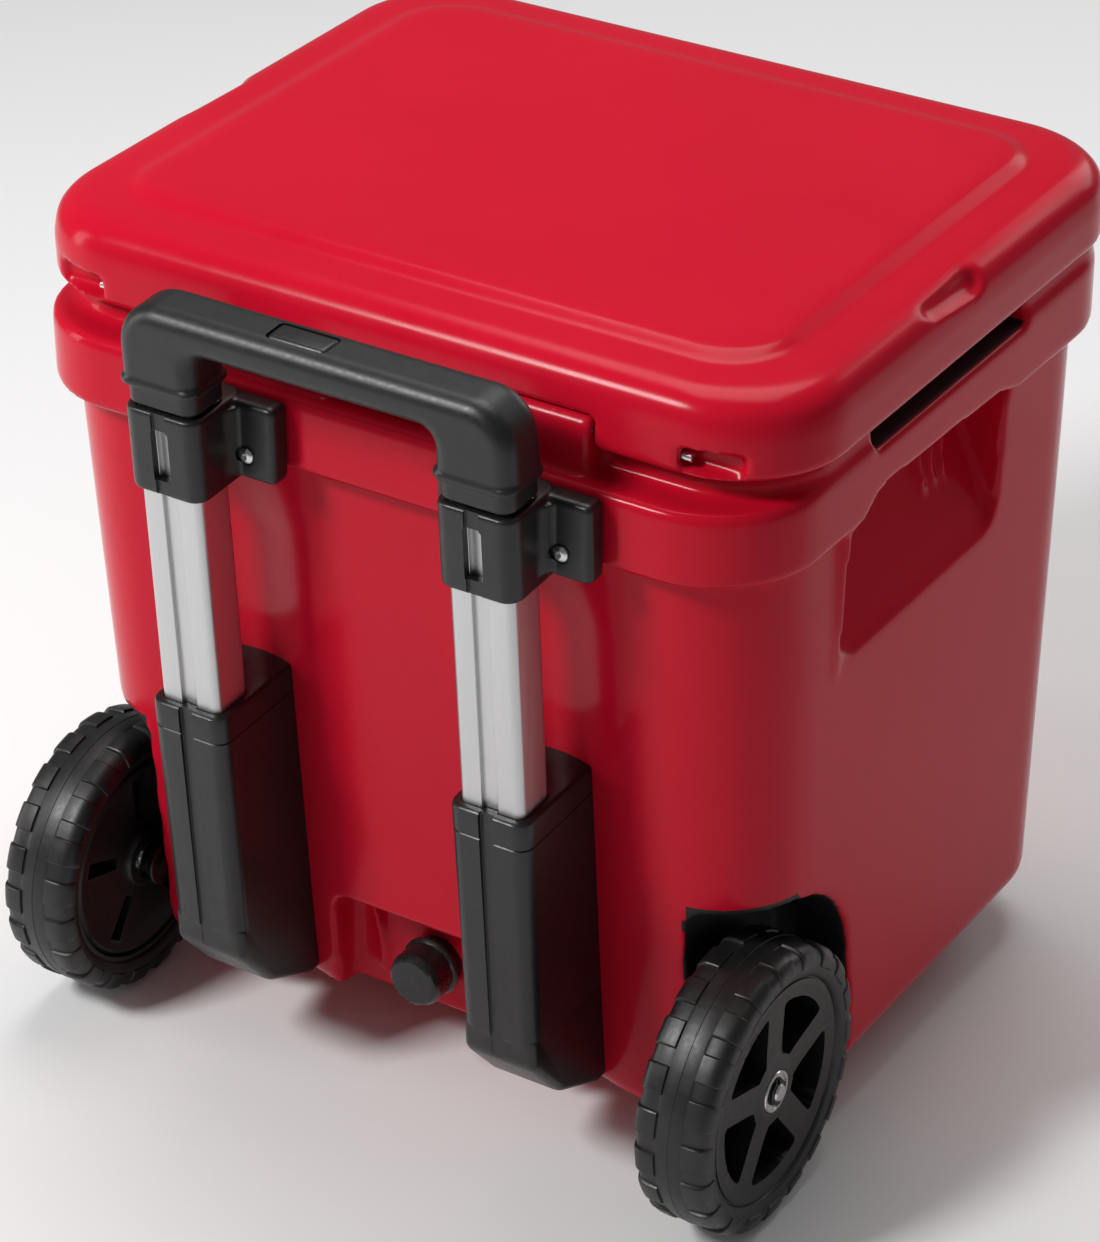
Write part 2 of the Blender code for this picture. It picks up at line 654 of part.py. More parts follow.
def latch_strap(name, centre):
    """A moulded rubber strap: a barrel on its pin, a strap down the front and a T-shaped pull."""
    y_front = RIM_HALF_DEPTH + 0.0130
    profile = arc(LATCH_PIN_Y, LATCH_PIN_Z, 0.0072, 90, 250, 8)
    profile += [(0.2140, 0.4955), (RIM_HALF_DEPTH + 0.0045, 0.4860), (RIM_HALF_DEPTH + 0.0045, 0.4420)]
    profile += [(y_front - 0.001, 0.4420), (y_front, 0.4700), (y_front - 0.002, 0.4950), (0.2165, 0.5110)]
    rings = [[(x, y, z) for y, z in profile] for x in (centre - 0.0142, centre + 0.0142)]
    strap = ring_solid(name, rings)
    pull = box("pull", (centre - 0.024, centre + 0.024), (RIM_HALF_DEPTH + 0.0052, y_front + 0.004),
               (0.4360, 0.4520), 0.003)
    add(strap, pull)
    return cut(strap, rod("bore", 0.0023, centre - 0.03, centre + 0.03, "x", (0, LATCH_PIN_Y, LATCH_PIN_Z)))


def latch_keeper(name, centre):
    """A plate on the rim, with a cheek each side of the strap."""
    y0 = RIM_HALF_DEPTH + GAP
    keeper = box(name, (centre - 0.026, centre + 0.026), (y0, y0 + 0.0030), (0.4300, 0.4640), 0.001)
    for side in (-1, 1):
        cheek = (centre + side * 0.0165, centre + side * 0.0235)
        add(keeper, box("cheek", (min(cheek), max(cheek)), (y0 + 0.001, y0 + 0.0100), (0.4560, 0.4625), 0.001))
    return keeper


latches, latch_pins, keepers = [], [], []
for side, label in ((-1, "left"), (1, "right")):
    centre = side * LATCH_X
    latches.append(latch_strap("latch_" + label, centre))
    latch_pins.append(rod("latch_pin_" + label, 0.0020, centre - 0.0205, centre + 0.0205, "x",
                          (0, LATCH_PIN_Y, LATCH_PIN_Z), 12))
    keepers.append(latch_keeper("latch_keeper_" + label, centre))


# ---------------------------------------------------------------- drain

DRAIN_CENTRE = (0, 0, DRAIN_Z)
DRAIN_INNER_END = -0.1545
DRAIN_FRONT = RECESS_BACK
drain_fitting = turned("drain_fitting", [
    (0.0055, DRAIN_FRONT - 0.0165), (0.0074, DRAIN_FRONT - 0.0165), (0.0074, DRAIN_FRONT - 0.0044),
    (0.0165, DRAIN_FRONT - 0.0040), (0.0165, DRAIN_FRONT - GAP), (0.0094, DRAIN_FRONT - GAP),
    (0.0094, DRAIN_INNER_END), (0.0055, DRAIN_INNER_END),
], "y", DRAIN_CENTRE, 20)
drain_gasket = turned("drain_gasket", [
    (0.0080, DRAIN_FRONT - 0.0062), (0.0140, DRAIN_FRONT - 0.0062),
    (0.0140, DRAIN_FRONT - 0.0044), (0.0080, DRAIN_FRONT - 0.0044),
], "y", DRAIN_CENTRE, 20)
CAP_END = DRAIN_FRONT - 0.0300
drain_plug = turned("drain_plug", [
    (0.0078, DRAIN_FRONT - 0.0066), (0.0180, DRAIN_FRONT - 0.0066), (0.0195, DRAIN_FRONT - 0.0080),
    (0.0195, DRAIN_FRONT - 0.0105), (0.0175, DRAIN_FRONT - 0.0120), (0.0150, DRAIN_FRONT - 0.0130),
    (0.0150, CAP_END + 0.0020), (0.0130, CAP_END), (0.0, CAP_END), (0.0, DRAIN_FRONT - 0.0175),
    (0.0078, DRAIN_FRONT - 0.0175),
], "y", DRAIN_CENTRE, 20)


# ---------------------------------------------------------------- wheels

SPOKES = 5


def wheel_window(middle_angle, floor):
    """An opening between two spokes, closed at the back by the hub's web."""
    span = 360.0 / SPOKES / 2.0
    outline = []
    for radius, direction in ((0.0575, 1), (0.0235, -1)):
        half = span - math.degrees(math.asin(SPOKE_HALF_WIDTH / radius))
        outline += arc(0, 0, radius, middle_angle - half * direction, middle_angle + half * direction, 5)
    rings = [[(x, WHEEL_Y + y, WHEEL_RADIUS + z) for y, z in outline] for x in (floor, WHEEL_OUTER + 0.01)]
    return ring_solid("window", rings)


def spoke_slot(angle):
    """The hollow in the back of a spoke."""
    turn = math.radians(angle)
    along = (math.cos(turn), math.sin(turn))
    rings = []
    for x in (WHEEL_INNER - 0.01, WHEEL_OUTER - 0.0110):
        ring = []
        for radius, half in ((0.0270, -0.0040), (0.0560, -0.0052), (0.0560, 0.0052), (0.0270, 0.0040)):
            y = along[0] * radius - along[1] * half
            z = along[1] * radius + along[0] * half
            ring.append((x, WHEEL_Y + y, WHEEL_RADIUS + z))
        rings.append(ring)
    return ring_solid("slot", rings)


def wheel_parts(label):
    """Tyre, hub and bearing of the right wheel, with the outer face towards +X."""
    centre = (0, WHEEL_Y, WHEEL_RADIUS)
    middle = (WHEEL_INNER + WHEEL_OUTER) / 2
    tyre = turned("tyre_" + label, [
        (RIM_RADIUS + GAP, WHEEL_INNER + 0.007), (0.074, WHEEL_INNER + 0.003), (0.0815, WHEEL_INNER),
        (0.0855, WHEEL_INNER + 0.0035), (0.0872, WHEEL_INNER + 0.012), (WHEEL_RADIUS, middle - 0.007),
        (WHEEL_RADIUS, middle + 0.007), (0.0872, WHEEL_OUTER - 0.012), (0.0855, WHEEL_OUTER - 0.0035),
        (0.0815, WHEEL_OUTER), (0.074, WHEEL_OUTER - 0.003), (RIM_RADIUS + GAP, WHEEL_OUTER - 0.007),
    ], "x", centre, 40)
    web = WHEEL_INNER + 0.0065
    hub = turned("hub_" + label, [
        (BEARING_RADIUS + 0.0002, WHEEL_INNER + 0.002), (0.0190, WHEEL_INNER + 0.002), (0.0195, web),
        (0.0615, web), (0.0625, WHEEL_INNER + 0.0075), (RIM_RADIUS, WHEEL_INNER + 0.0075),
        (RIM_RADIUS, WHEEL_OUTER - 0.0075), (0.0625, WHEEL_OUTER - 0.0060), (0.0230, WHEEL_OUTER - 0.0064),
        (0.0210, WHEEL_OUTER - 0.0050), (0.0160, WHEEL_OUTER - 0.0040), (BEARING_RADIUS + 0.0002, WHEEL_OUTER - 0.0040),
    ], "x", centre, 40)
    for spoke in range(SPOKES):
        cut(hub, wheel_window(90.0 + 360.0 * (spoke + 0.5) / SPOKES, web + 0.003))
        cut(hub, spoke_slot(90.0 + 360.0 * spoke / SPOKES))
    bearing = turned("bearing_" + label, [
        (BEARING_BORE, WHEEL_INNER + 0.004), (BEARING_RADIUS, WHEEL_INNER + 0.004),
        (BEARING_RADIUS, WHEEL_OUTER - 0.0045), (0.0118, WHEEL_OUTER - 0.0045), (0.0112, WHEEL_OUTER - 0.0052),
        (0.0080, WHEEL_OUTER - 0.0052), (0.0075, WHEEL_OUTER - 0.0040), (BEARING_BORE, WHEEL_OUTER - 0.0040),
    ], "x", centre, 20)
    axle = turned("stub_axle_" + label, [
        (0.0, 0.1880), (0.0074, 0.1880), (0.0074, ARCH_WALL + GAP), (0.0140, ARCH_WALL + GAP), (0.0140, 0.1945), (0.0095, 0.1975),
        (0.0095, WHEEL_INNER + 0.0015), (AXLE_RADIUS, WHEEL_INNER + 0.0030), (AXLE_RADIUS, 0.2474),
        (0.0048, 0.2474), (0.0048, 0.2484), (AXLE_RADIUS, 0.2484), (AXLE_RADIUS, AXLE_END), (0.0, AXLE_END),
    ], "x", centre, 20)
    clip = turned("axle_clip_" + label, [
        (0.0050, 0.2475), (0.0078, 0.2475), (0.0078, 0.2483), (0.0050, 0.2483),
    ], "x", centre, 16)
    return tyre, hub, bearing, axle, clip


right_wheel = wheel_parts("right")
left_wheel = []
for piece in right_wheel:
    left_wheel.append(mirrored(piece, piece.name.replace("right", "left")))


# ---------------------------------------------------------------- handle brackets

def collar(name, centre):
    """The upper bracket: a sleeve around the tube with an ear each side, screwed to the rim."""
    ears = box(name, (centre - EAR_SHORT, centre + EAR_LONG), (EAR_FRONT, -RIM_HALF_DEPTH - GAP),
               (0.4205, 0.4690), 0.0028)
    spread = BOOT_SPREAD
    rings = []
    for height, grow in ((COLLAR_BOTTOM, spread - 0.001), (COLLAR_BOTTOM + 0.001, spread),
                         (COLLAR_TOP - 0.0015, spread), (COLLAR_TOP, spread - 0.0015)):
        half = TUBE_HALF_WIDTH + grow
        outline = rounded_outline(half, -grow, TUBE_DEPTH + 0.014, TUBE_RADIUS + grow, 4)
        rings.append([(x + centre, y, height) for x, y in outline])
    sleeve = to_world(ring_solid("sleeve", rings))
    cut(sleeve, box("behind", (centre - 0.1, centre + 0.1), (-RIM_HALF_DEPTH - GAP, -0.1), (0.3, 0.6)))
    add(ears, sleeve)
    cut(ears, to_world(tube_solid("bore", centre, -GAP, COLLAR_BOTTOM - 0.02, COLLAR_TOP + 0.02)))
    window = box("window", (centre - CHANNEL_HALF_WIDTH - 0.0006, centre + CHANNEL_HALF_WIDTH + 0.0012),
                 (-0.02, 0.010), (COLLAR_BOTTOM + 0.009, COLLAR_TOP - 0.011), 0.0008)
    cut(ears, to_world(window))
    for offset in (-SCREW_OFFSET, SCREW_OFFSET):
        cut(ears, rod("hole", 0.0027, EAR_FRONT - 0.01, -0.20, "y", (centre + offset, 0, SCREW_HEIGHT), 12))
    return ears


def button_screw(name, x, z, seat, length):
    """A button-head screw along Y; its hex socket is cut in the head."""
    screw = turned(name, [
        (0.0, seat - 0.0030), (0.0030, seat - 0.0030), (0.0048, seat - 0.0018), (0.0053, seat - GAP),
        (0.0023, seat - GAP), (0.0023, seat + length), (0.0, seat + length),
    ], "y", (x, 0, z), 14)
    return cut(screw, rod("socket", 0.0017, seat - 0.01, seat - 0.0012, "y", (x, 0, z), 6))


def boot(name, centre):
    """The lower socket: it holds the tube's foot and reaches back to the chest's wall."""
    rings = []
    levels = (
        (BOOT_BOTTOM, BOOT_SPREAD - 0.0060, 0.022),
        (BOOT_BOTTOM + 0.012, BOOT_SPREAD - 0.0006, 0.0),
        (BOOT_TOP - 0.0125, BOOT_SPREAD + 0.0006, 0.0),
        (BOOT_TOP - 0.0020, BOOT_SPREAD + 0.0004, 0.0),
        (BOOT_TOP, BOOT_SPREAD - 0.0012, 0.0),
    )
    for height, grow, cutback in levels:
        half = TUBE_HALF_WIDTH + grow
        outline = rounded_outline(half, -BOOT_SPREAD + (BOOT_SPREAD - grow) * 0.8 + cutback * 0.25, 0.110, 0.0095, 5)
        rings.append([(x + centre, y, height) for x, y in outline])
    block = to_world(ring_solid(name, rings))
    half = TUBE_HALF_WIDTH + BOOT_SPREAD - 0.0008
    skirt = [(-0.2528, 0.1200), (-0.2520, 0.0985), (-0.2240, 0.0655), (-0.1840, 0.0470), (-0.1500, 0.0470), (-0.1500, 0.1200)]
    rings = [[(centre + across, y, z) for y, z in skirt] for across in (-half, half)]
    foot = ring_solid("foot", rings)
    round_edges(foot, 0.0030)
    add(block, foot)
    cut(block, wall_envelope(GAP))
    cut(block, to_world(tube_solid("socket", centre, -GAP, OUTER_BOTTOM - GAP, BOOT_TOP + 0.02)))
    groove = box("groove", (centre - 0.0052, centre + 0.0040), (-0.02, -0.0028),
                 (BOOT_BOTTOM - 0.01, BOOT_TOP + 0.01), 0.0006)
    cut(block, to_world(groove))
    return cut(block, rod("bolt_hole", 0.0038, -0.2240, -0.176, "y", (centre, 0, BOLT_HEIGHT), 12))


collars, boots, outer_tubes, middle_tubes, inner_tubes, screws, bolts = [], [], [], [], [], [], []
for side, label in ((-1, "left"), (1, "right")):
    centre = side * TUBE_X
    collars.append(collar("collar_" + label, centre))
    for offset, place in ((-SCREW_OFFSET, "a"), (SCREW_OFFSET, "b")):
        screws.append(button_screw("collar_screw_" + label + "_" + place, centre + offset, SCREW_HEIGHT,
                                   EAR_FRONT, 0.028))
    boots.append(boot("boot_" + label, centre))
    bolts.append(rod("boot_bolt_" + label, 0.0035, -0.2230, -0.1680, "y", (centre, 0, BOLT_HEIGHT), 12))
    outer_tubes.append(to_world(tube("outer_tube_" + label, centre, 0.0, OUTER_WALL, OUTER_BOTTOM, OUTER_TOP)))
    middle_tubes.append(to_world(tube("middle_tube_" + label, centre, MIDDLE_INSET, MIDDLE_WALL,
                                      OUTER_BOTTOM + 0.006, OUTER_TOP + 0.0035)))
    inner = tube("inner_tube_" + label, centre, INNER_INSET, INNER_WALL, OUTER_BOTTOM + 0.012, GRIP_BOTTOM + 0.026)
    cut(inner, rod("pin_hole", 0.0029, 0.020, 0.028, "y", (centre, 0, PIN_HEIGHT), 12))
    inner_tubes.append(to_world(inner))


# ---------------------------------------------------------------- grip and its release

def grip_outline(inset):
    """The U-shaped casing seen from the rear, moved inwards by the inset."""
    outer = GRIP_HALF_WIDTH - inset
    inner = GRIP_LEG_INNER + inset
    top = GRIP_TOP - inset
    under = GRIP_TOP - GRIP_BAR_HEIGHT + inset
    big = 0.027 - inset
    small = 0.009 + inset
    points = [(inner, FERRULE_BOTTOM), (outer, FERRULE_BOTTOM)]
    points += arc(outer - big, top - big, big, 0, 90, 7)
    points += arc(-outer + big, top - big, big, 90, 180, 7)
    points += [(-outer, FERRULE_BOTTOM), (-inner, FERRULE_BOTTOM)]
    points += arc(-inner + small, under - small, small, 180, 90, 5)
    points += arc(inner - small, under - small, small, 90, 0, 5)
    return points


def grip_casing():
    levels = []
    for inset, depth in ((0.0085, 0.0), (0.0042, 0.0010), (0.0012, 0.0040), (0.0, 0.0085)):
        levels.append((inset, GRIP_FRONT + depth))
    for inset, depth in ((0.0, 0.0085), (0.0012, 0.0040), (0.0042, 0.0010), (0.0085, 0.0)):
        levels.append((inset, GRIP_BACK - depth))
    rings = [[(x, depth, height) for x, height in grip_outline(inset)] for inset, depth in levels]
    casing = ring_solid("grip", rings)
    for side in (-1, 1):
        centre = side * TUBE_X
        rings = []
        for height, grow in ((GRIP_BOTTOM, 0.0020), (GRIP_BOTTOM + 0.001, 0.0026), (FERRULE_BOTTOM + 0.006, 0.0026)):
            outline = rounded_outline(TUBE_HALF_WIDTH + grow, -grow, TUBE_DEPTH + grow * 0.6, 0.0075, 5)
            rings.append([(x + centre, y, height) for x, y in outline])
        add(casing, ring_solid("neck", rings))
        rings = []
        for height, grow in ((FERRULE_BOTTOM - 0.0006, 0.0050), (FERRULE_BOTTOM + 0.0008, 0.0058),
                             (FERRULE_TOP - 0.0006, 0.0058), (FERRULE_TOP + 0.0012, 0.0038)):
            outline = rounded_outline(TUBE_HALF_WIDTH + grow, -grow, TUBE_DEPTH + grow * 0.5, 0.0095, 5)
            rings.append([(x + centre, y, height) for x, y in outline])
        add(casing, ring_solid("ferrule", rings))
    cut(casing, box("bar_room", (-0.112, 0.112), (0.0060, 0.0240), (GRIP_TOP - 0.0210, GRIP_TOP - 0.0045), 0.0015))
    for side in (-1, 1):
        cut(casing, tube_solid("socket", side * TUBE_X, INNER_INSET - GAP, GRIP_BOTTOM - 0.01, GRIP_TOP - 0.012))
    opening = box("button_room", (BUTTON_X - BUTTON_HALF_WIDTH, BUTTON_X + BUTTON_HALF_WIDTH),
                  (BUTTON_DEPTH - BUTTON_HALF_DEPTH, BUTTON_DEPTH + BUTTON_HALF_DEPTH),
                  (GRIP_TOP - 0.0170, GRIP_TOP + 0.010), 0.0030, 3)
    cut(casing, opening)
    return to_world(casing)


def spring(name, centre, radius, wire, start, end, turns):
    """A closed coil of round wire, with both ends capped."""
    rings = []
    steps = int(turns * 12)
    for step in range(steps + 1):
        angle = 2 * math.pi * turns * step / steps
        height = start + wire + (end - start - 2 * wire) * step / steps
        outward = Vector((math.cos(angle), math.sin(angle), 0))
        middle = Vector((centre[0], centre[1], height)) + outward * radius
        ring = []
        for side in range(6):
            turn = 2 * math.pi * side / 6
            ring.append(tuple(middle + outward * (wire * math.cos(turn)) + Vector((0, 0, wire * math.sin(turn)))))
        rings.append(ring)
    return ring_solid(name, rings)


BAR_BOTTOM = GRIP_TOP - 0.0165
BAR_TOP = GRIP_TOP - 0.0130
grip = grip_casing()
button = box("release_button", (BUTTON_X - BUTTON_HALF_WIDTH + 0.0004, BUTTON_X + BUTTON_HALF_WIDTH - 0.0004),
             (BUTTON_DEPTH - BUTTON_HALF_DEPTH + 0.0004, BUTTON_DEPTH + BUTTON_HALF_DEPTH - 0.0004),
             (BAR_TOP + GAP, GRIP_TOP + 0.0004), 0.0027, 3)
to_world(button)
release_bar = to_world(box("release_bar", (-TUBE_X - 0.004, TUBE_X + 0.004), (0.0105, 0.0195), (BAR_BOTTOM, BAR_TOP), 0.0006, 1))
button_spring = to_world(spring("button_spring", (BUTTON_X, ROD_DEPTH), 0.0040, 0.0003,
                                GRIP_TOP - 0.0208, BAR_BOTTOM - 0.0002, 2))
release_rods, lock_pins = [], []
for side, label in ((-1, "left"), (1, "right")):
    centre = (side * TUBE_X, ROD_DEPTH, 0)
    release_rods.append(to_world(rod("release_rod_" + label, 0.0020, PIN_HEIGHT + 0.007, BAR_BOTTOM - GAP, "z", centre, 10)))
    lock_pins.append(to_world(rod("lock_pin_" + label, 0.0025, 0.0178, 0.0262, "y", (side * TUBE_X, 0, PIN_HEIGHT), 12)))

feet = []
for side, label in ((-1, "left"), (1, "right")):
    x = (side * 0.150, side * 0.200)
    feet.append(box("foot_" + label, (min(x), max(x)), (0.105, 0.165), (0.0, CHEST_BOTTOM - GAP), 0.004))


# ---------------------------------------------------------------- colours and the moving groups

red = make_material("red_moulding", RED, 0.28)
black = make_material("black_plastic", BLACK, 0.42)
tyre_rubber = make_material("tyre_rubber", TYRE_BLACK, 0.62)
rubber = make_material("rubber", BLACK, 0.7)
steel = make_material("steel", STEEL, 0.3, 1.0)
aluminium = make_material("aluminium", ALUMINIUM, 0.38, 1.0)
foam_material = make_material("foam", FOAM, 0.9)
seal_material = make_material("seal", GREY, 0.75)

BY_MATERIAL = {
    red: [body, lid],
    foam_material: [core, plug, lid_core, lid_plug],
    seal_material: [gasket, drain_gasket],
    rubber: latches + feet,
    steel: hinge_pins + latch_pins + screws + bolts + lock_pins + release_rods
    + [button_spring, right_wheel[2], left_wheel[2], right_wheel[3], left_wheel[3], right_wheel[4], left_wheel[4]],
    aluminium: outer_tubes + middle_tubes + inner_tubes,
    tyre_rubber: [right_wheel[0], left_wheel[0]],
    black: collars + boots + keepers + [grip, button, release_bar, drain_fitting, drain_plug, right_wheel[1], left_wheel[1]],
}
for material, pieces in BY_MATERIAL.items():
    for piece in pieces:
        finish(piece, material)


def centre_on_origin():
    """Slide every piece along Y, so that the whole object's box is centred on the origin."""
    pieces = [piece for piece in bpy.data.objects if piece.type == 'MESH']
    depths = [vertex.co.y for piece in pieces for vertex in piece.data.vertices]
    shift = -round((min(depths) + max(depths)) / 2, 6)
    for piece in pieces:
        piece.data.transform(Matrix.Translation((0, shift, 0)))
    return shift


SHIFT = centre_on_origin()
print("shift along Y", SHIFT)


def group(name, location, pieces):
    """An empty on a joint's axis, carrying the pieces that move together."""
    empty = bpy.data.objects.new(name, None)
    bpy.context.scene.collection.objects.link(empty)
    empty.location = (location[0], location[1] + SHIFT, location[2])
    bpy.context.view_layer.update()
    for piece in pieces:
        piece.parent = empty
        piece.matrix_parent_inverse = empty.matrix_world.inverted()
    return empty


group("lid_axis", (0, HINGE_Y, HINGE_Z), [lid, lid_core, lid_plug, gasket] + latch_pins)
for side, label, latch in ((-1, "left", latches[0]), (1, "right", latches[1])):
    group("latch_axis_" + label, (side * LATCH_X, LATCH_PIN_Y, LATCH_PIN_Z), [latch])
group("wheel_axis_right", (0.226, WHEEL_Y, WHEEL_RADIUS), list(right_wheel[:3]))
group("wheel_axis_left", (-0.226, WHEEL_Y, WHEEL_RADIUS), left_wheel[:3])
group("drain_axis", DRAIN_CENTRE, [drain_plug, drain_gasket])
group("middle_slide", HANDLE_ORIGIN, middle_tubes)
group("grip_slide", HANDLE_ORIGIN, inner_tubes + [grip, button_spring])
group("release_slide", HANDLE_ORIGIN, [button, release_bar] + release_rods)
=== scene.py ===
"""Looks of the wheeled cooler: detailed mouldings, tread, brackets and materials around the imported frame."""
import math

import bmesh
import bpy
from mathutils import Matrix, Vector


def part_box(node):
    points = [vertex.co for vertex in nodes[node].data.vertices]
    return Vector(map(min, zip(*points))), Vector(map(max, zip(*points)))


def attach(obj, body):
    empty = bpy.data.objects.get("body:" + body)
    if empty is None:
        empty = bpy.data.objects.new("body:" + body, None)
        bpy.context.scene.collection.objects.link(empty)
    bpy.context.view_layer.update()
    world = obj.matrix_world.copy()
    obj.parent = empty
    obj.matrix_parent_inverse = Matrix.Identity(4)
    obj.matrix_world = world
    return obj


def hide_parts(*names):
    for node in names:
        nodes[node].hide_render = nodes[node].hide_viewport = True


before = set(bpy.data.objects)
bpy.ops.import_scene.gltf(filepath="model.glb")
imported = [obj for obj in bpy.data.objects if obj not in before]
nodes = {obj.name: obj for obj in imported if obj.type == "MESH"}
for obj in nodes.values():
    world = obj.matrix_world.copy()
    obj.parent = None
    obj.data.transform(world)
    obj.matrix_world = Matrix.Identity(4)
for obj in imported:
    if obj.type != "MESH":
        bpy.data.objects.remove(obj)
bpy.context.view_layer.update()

# ---- sizes, in metres
# Y is written from the chest's own middle, and OFFSET_Y moves it into the row's frame.
RIM_HALF_WIDTH = 0.25
RIM_HALF_DEPTH = 0.2205
OFFSET_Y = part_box("body_shell")[0][1] + RIM_HALF_DEPTH
RIM_BOTTOM = 0.425
LEDGE_TOP = 0.47
RIM_TOP = 0.482
WALL_HALF_WIDTH = 0.241
WALL_REAR_TOP = -0.2085
WALL_REAR_BOTTOM = -0.181
WALL_FRONT_TOP = 0.2085
WALL_FRONT_BOTTOM = 0.192
CHEST_BOTTOM = 0.04
CORNER_RADIUS = 0.062
SCALLOP_DEPTH = 0.009
SCALLOP_HALF_WIDTH = 0.052
SCALLOP_STEPS = 12
TUB_HALF_WIDTH = 0.183
TUB_REAR = -0.158
TUB_FRONT = 0.16
TUB_FLOOR = 0.066
LID_HALF_WIDTH = 0.257
LID_REAR = -0.206
LID_FRONT = 0.213
LID_BOTTOM = 0.4845
LID_TOP = 0.538
HINGE_Y = -0.1975
HINGE_Z = 0.4935
KNUCKLE_RADIUS = 0.0105
KNUCKLE_ENDS = (0.032, 0.137)
PIN_RADIUS = 0.003
PIN_HOLE_RADIUS = 0.0036
TUBE_X = 0.1034
TUBE_HALF_WIDTH = 0.0207
TUBE_DEPTH = 0.03
TUBE_RADIUS = 0.005
CHANNEL_HALF_WIDTH = 0.0052
CHANNEL_DEPTH = 0.0025
HANDLE_ORIGIN = (0.0, -0.2635, 0.4)
HANDLE_TILT = math.radians(2.8)
WHEEL_RADIUS = 0.088
WHEEL_INNER = 0.201
WHEEL_OUTER = 0.251
WHEEL_Y = -0.182
ARCH_RADIUS = 0.103
ARCH_WALL = 0.19
ARCH_TOP = 0.197
ARCH_BEND = 0.08
POCKET_DEPTH = 0.032
RECESS_HALF_WIDTH = 0.061
RECESS_BACK = -0.16
RECESS_TOP = 0.118
DRAIN_Z = 0.0745
DRAIN_HOLE_RADIUS = 0.0098
LATCH_X = 0.12
LATCH_PIN_Y = 0.2085
LATCH_PIN_Z = 0.506
LATCH_ROOM_HALF_WIDTH = 0.015
LATCH_ROOM_DEPTH = 0.0085
LATCH_ROOM_TOP = 0.5165
SIDES = ((-1, "left"), (1, "right"))
VOXEL = 0.0027


# ---- mesh helpers

def place_object(name, data):
    """Put an object in the scene."""
    placed = bpy.data.objects.new(name, data)
    bpy.context.scene.collection.objects.link(placed)
    return placed


def reshape(mesh, change):
    """Run a change on the editable form of a mesh."""
    form = bmesh.new()
    form.from_mesh(mesh)
    change(form)
    form.to_mesh(mesh)
    form.free()


def clean(form):
    """Merge doubled points, drop what is left loose and turn the faces outwards."""
    bmesh.ops.remove_doubles(form, verts=form.verts, dist=1e-7)
    bmesh.ops.dissolve_degenerate(form, edges=form.edges, dist=1e-7)
    loose = [edge for edge in form.edges if not edge.link_faces]
    bmesh.ops.delete(form, geom=loose, context='EDGES')
    bmesh.ops.recalc_face_normals(form, faces=form.faces)


def mesh_object(name, vertices, faces):
    """A mesh piece in the scene."""
    mesh = bpy.data.meshes.new(name)
    mesh.from_pydata([Vector(v) for v in vertices], [], faces)
    reshape(mesh, clean)
    return place_object(name, mesh)


def band_faces(count, rings, closed):
    """Quads between rings of count points each; a closed row joins its last ring to its first."""
    faces = []
    for level in range(rings if closed else rings - 1):
        here = level * count
        there = ((level + 1) % rings) * count
        for i in range(count):
            j = (i + 1) % count
            faces.append((here + i, here + j, there + j, there + i))
    return faces


def ring_solid(name, rings):
    """A solid through rings of equal point count, with a flat cap at each end."""
    count = len(rings[0])
    vertices = [point for ring in rings for point in ring]
    caps = [tuple(range(count)), tuple(range((len(rings) - 1) * count, len(rings) * count))]
    return mesh_object(name, vertices, caps + band_faces(count, len(rings), False))


def arc(cx, cy, radius, start, end, steps):
    """Points on an arc between two angles in degrees."""
    points = []
    for i in range(steps + 1):
        angle = math.radians(start + (end - start) * i / steps)
        points.append((cx + radius * math.cos(angle), cy + radius * math.sin(angle)))
    return points


def rounded_outline(half_width, y0, y1, radius, steps=14):
    """A rectangle with rounded corners, as a list of (x, y)."""
    inner = half_width - radius
    outline = []
    outline += arc(inner, y1 - radius, radius, 0, 90, steps)
    outline += arc(-inner, y1 - radius, radius, 90, 180, steps)
    outline += arc(-inner, y0 + radius, radius, 180, 270, steps)
    outline += arc(inner, y0 + radius, radius, 270, 360, steps)
    return outline


def wall_outline(half_width, y0, y1, radius, dip):
    """The chest's outline, with a soft scallop behind each handle tube."""
    inner = half_width - radius
    outline = []
    outline += arc(inner, y1 - radius, radius, 0, 90, 14)
    outline += arc(-inner, y1 - radius, radius, 90, 180, 14)
    outline += arc(-inner, y0 + radius, radius, 180, 270, 14)
    for side in (-1, 1):
        for step in range(2 * SCALLOP_STEPS + 1):
            across = (step / SCALLOP_STEPS - 1.0) * SCALLOP_HALF_WIDTH
            depth = dip * 0.5 * (1.0 + math.cos(math.pi * across / SCALLOP_HALF_WIDTH))
            outline.append((side * TUBE_X + across, y0 + depth))
    outline += arc(inner, y0 + radius, radius, 270, 360, 14)
    return outline


def loft(name, sections, outline=rounded_outline):
    """A solid through outlines at given heights: each section is (z, *values for the outline)."""
    rings = []
    for height, *values in sections:
        rings.append([(x, y, height) for x, y in outline(*values)])
    return ring_solid(name, rings)


def box(name, x, y, z, bevel=0.0, segments=4):
    """A block between the limits in x, y and z, with rounded edges if a bevel is given."""
    vertices = [(x[i], y[j], z[k]) for i in (0, 1) for j in (0, 1) for k in (0, 1)]
    faces = [(0, 1, 3, 2), (4, 6, 7, 5), (0, 4, 5, 1), (2, 3, 7, 6), (0, 2, 6, 4), (1, 5, 7, 3)]
    piece = mesh_object(name, vertices, faces)
    if bevel:
        reshape(piece.data, lambda form: bmesh.ops.bevel(
            form, geom=form.edges[:], offset=bevel, segments=segments, profile=0.5, affect='EDGES'))
    return piece


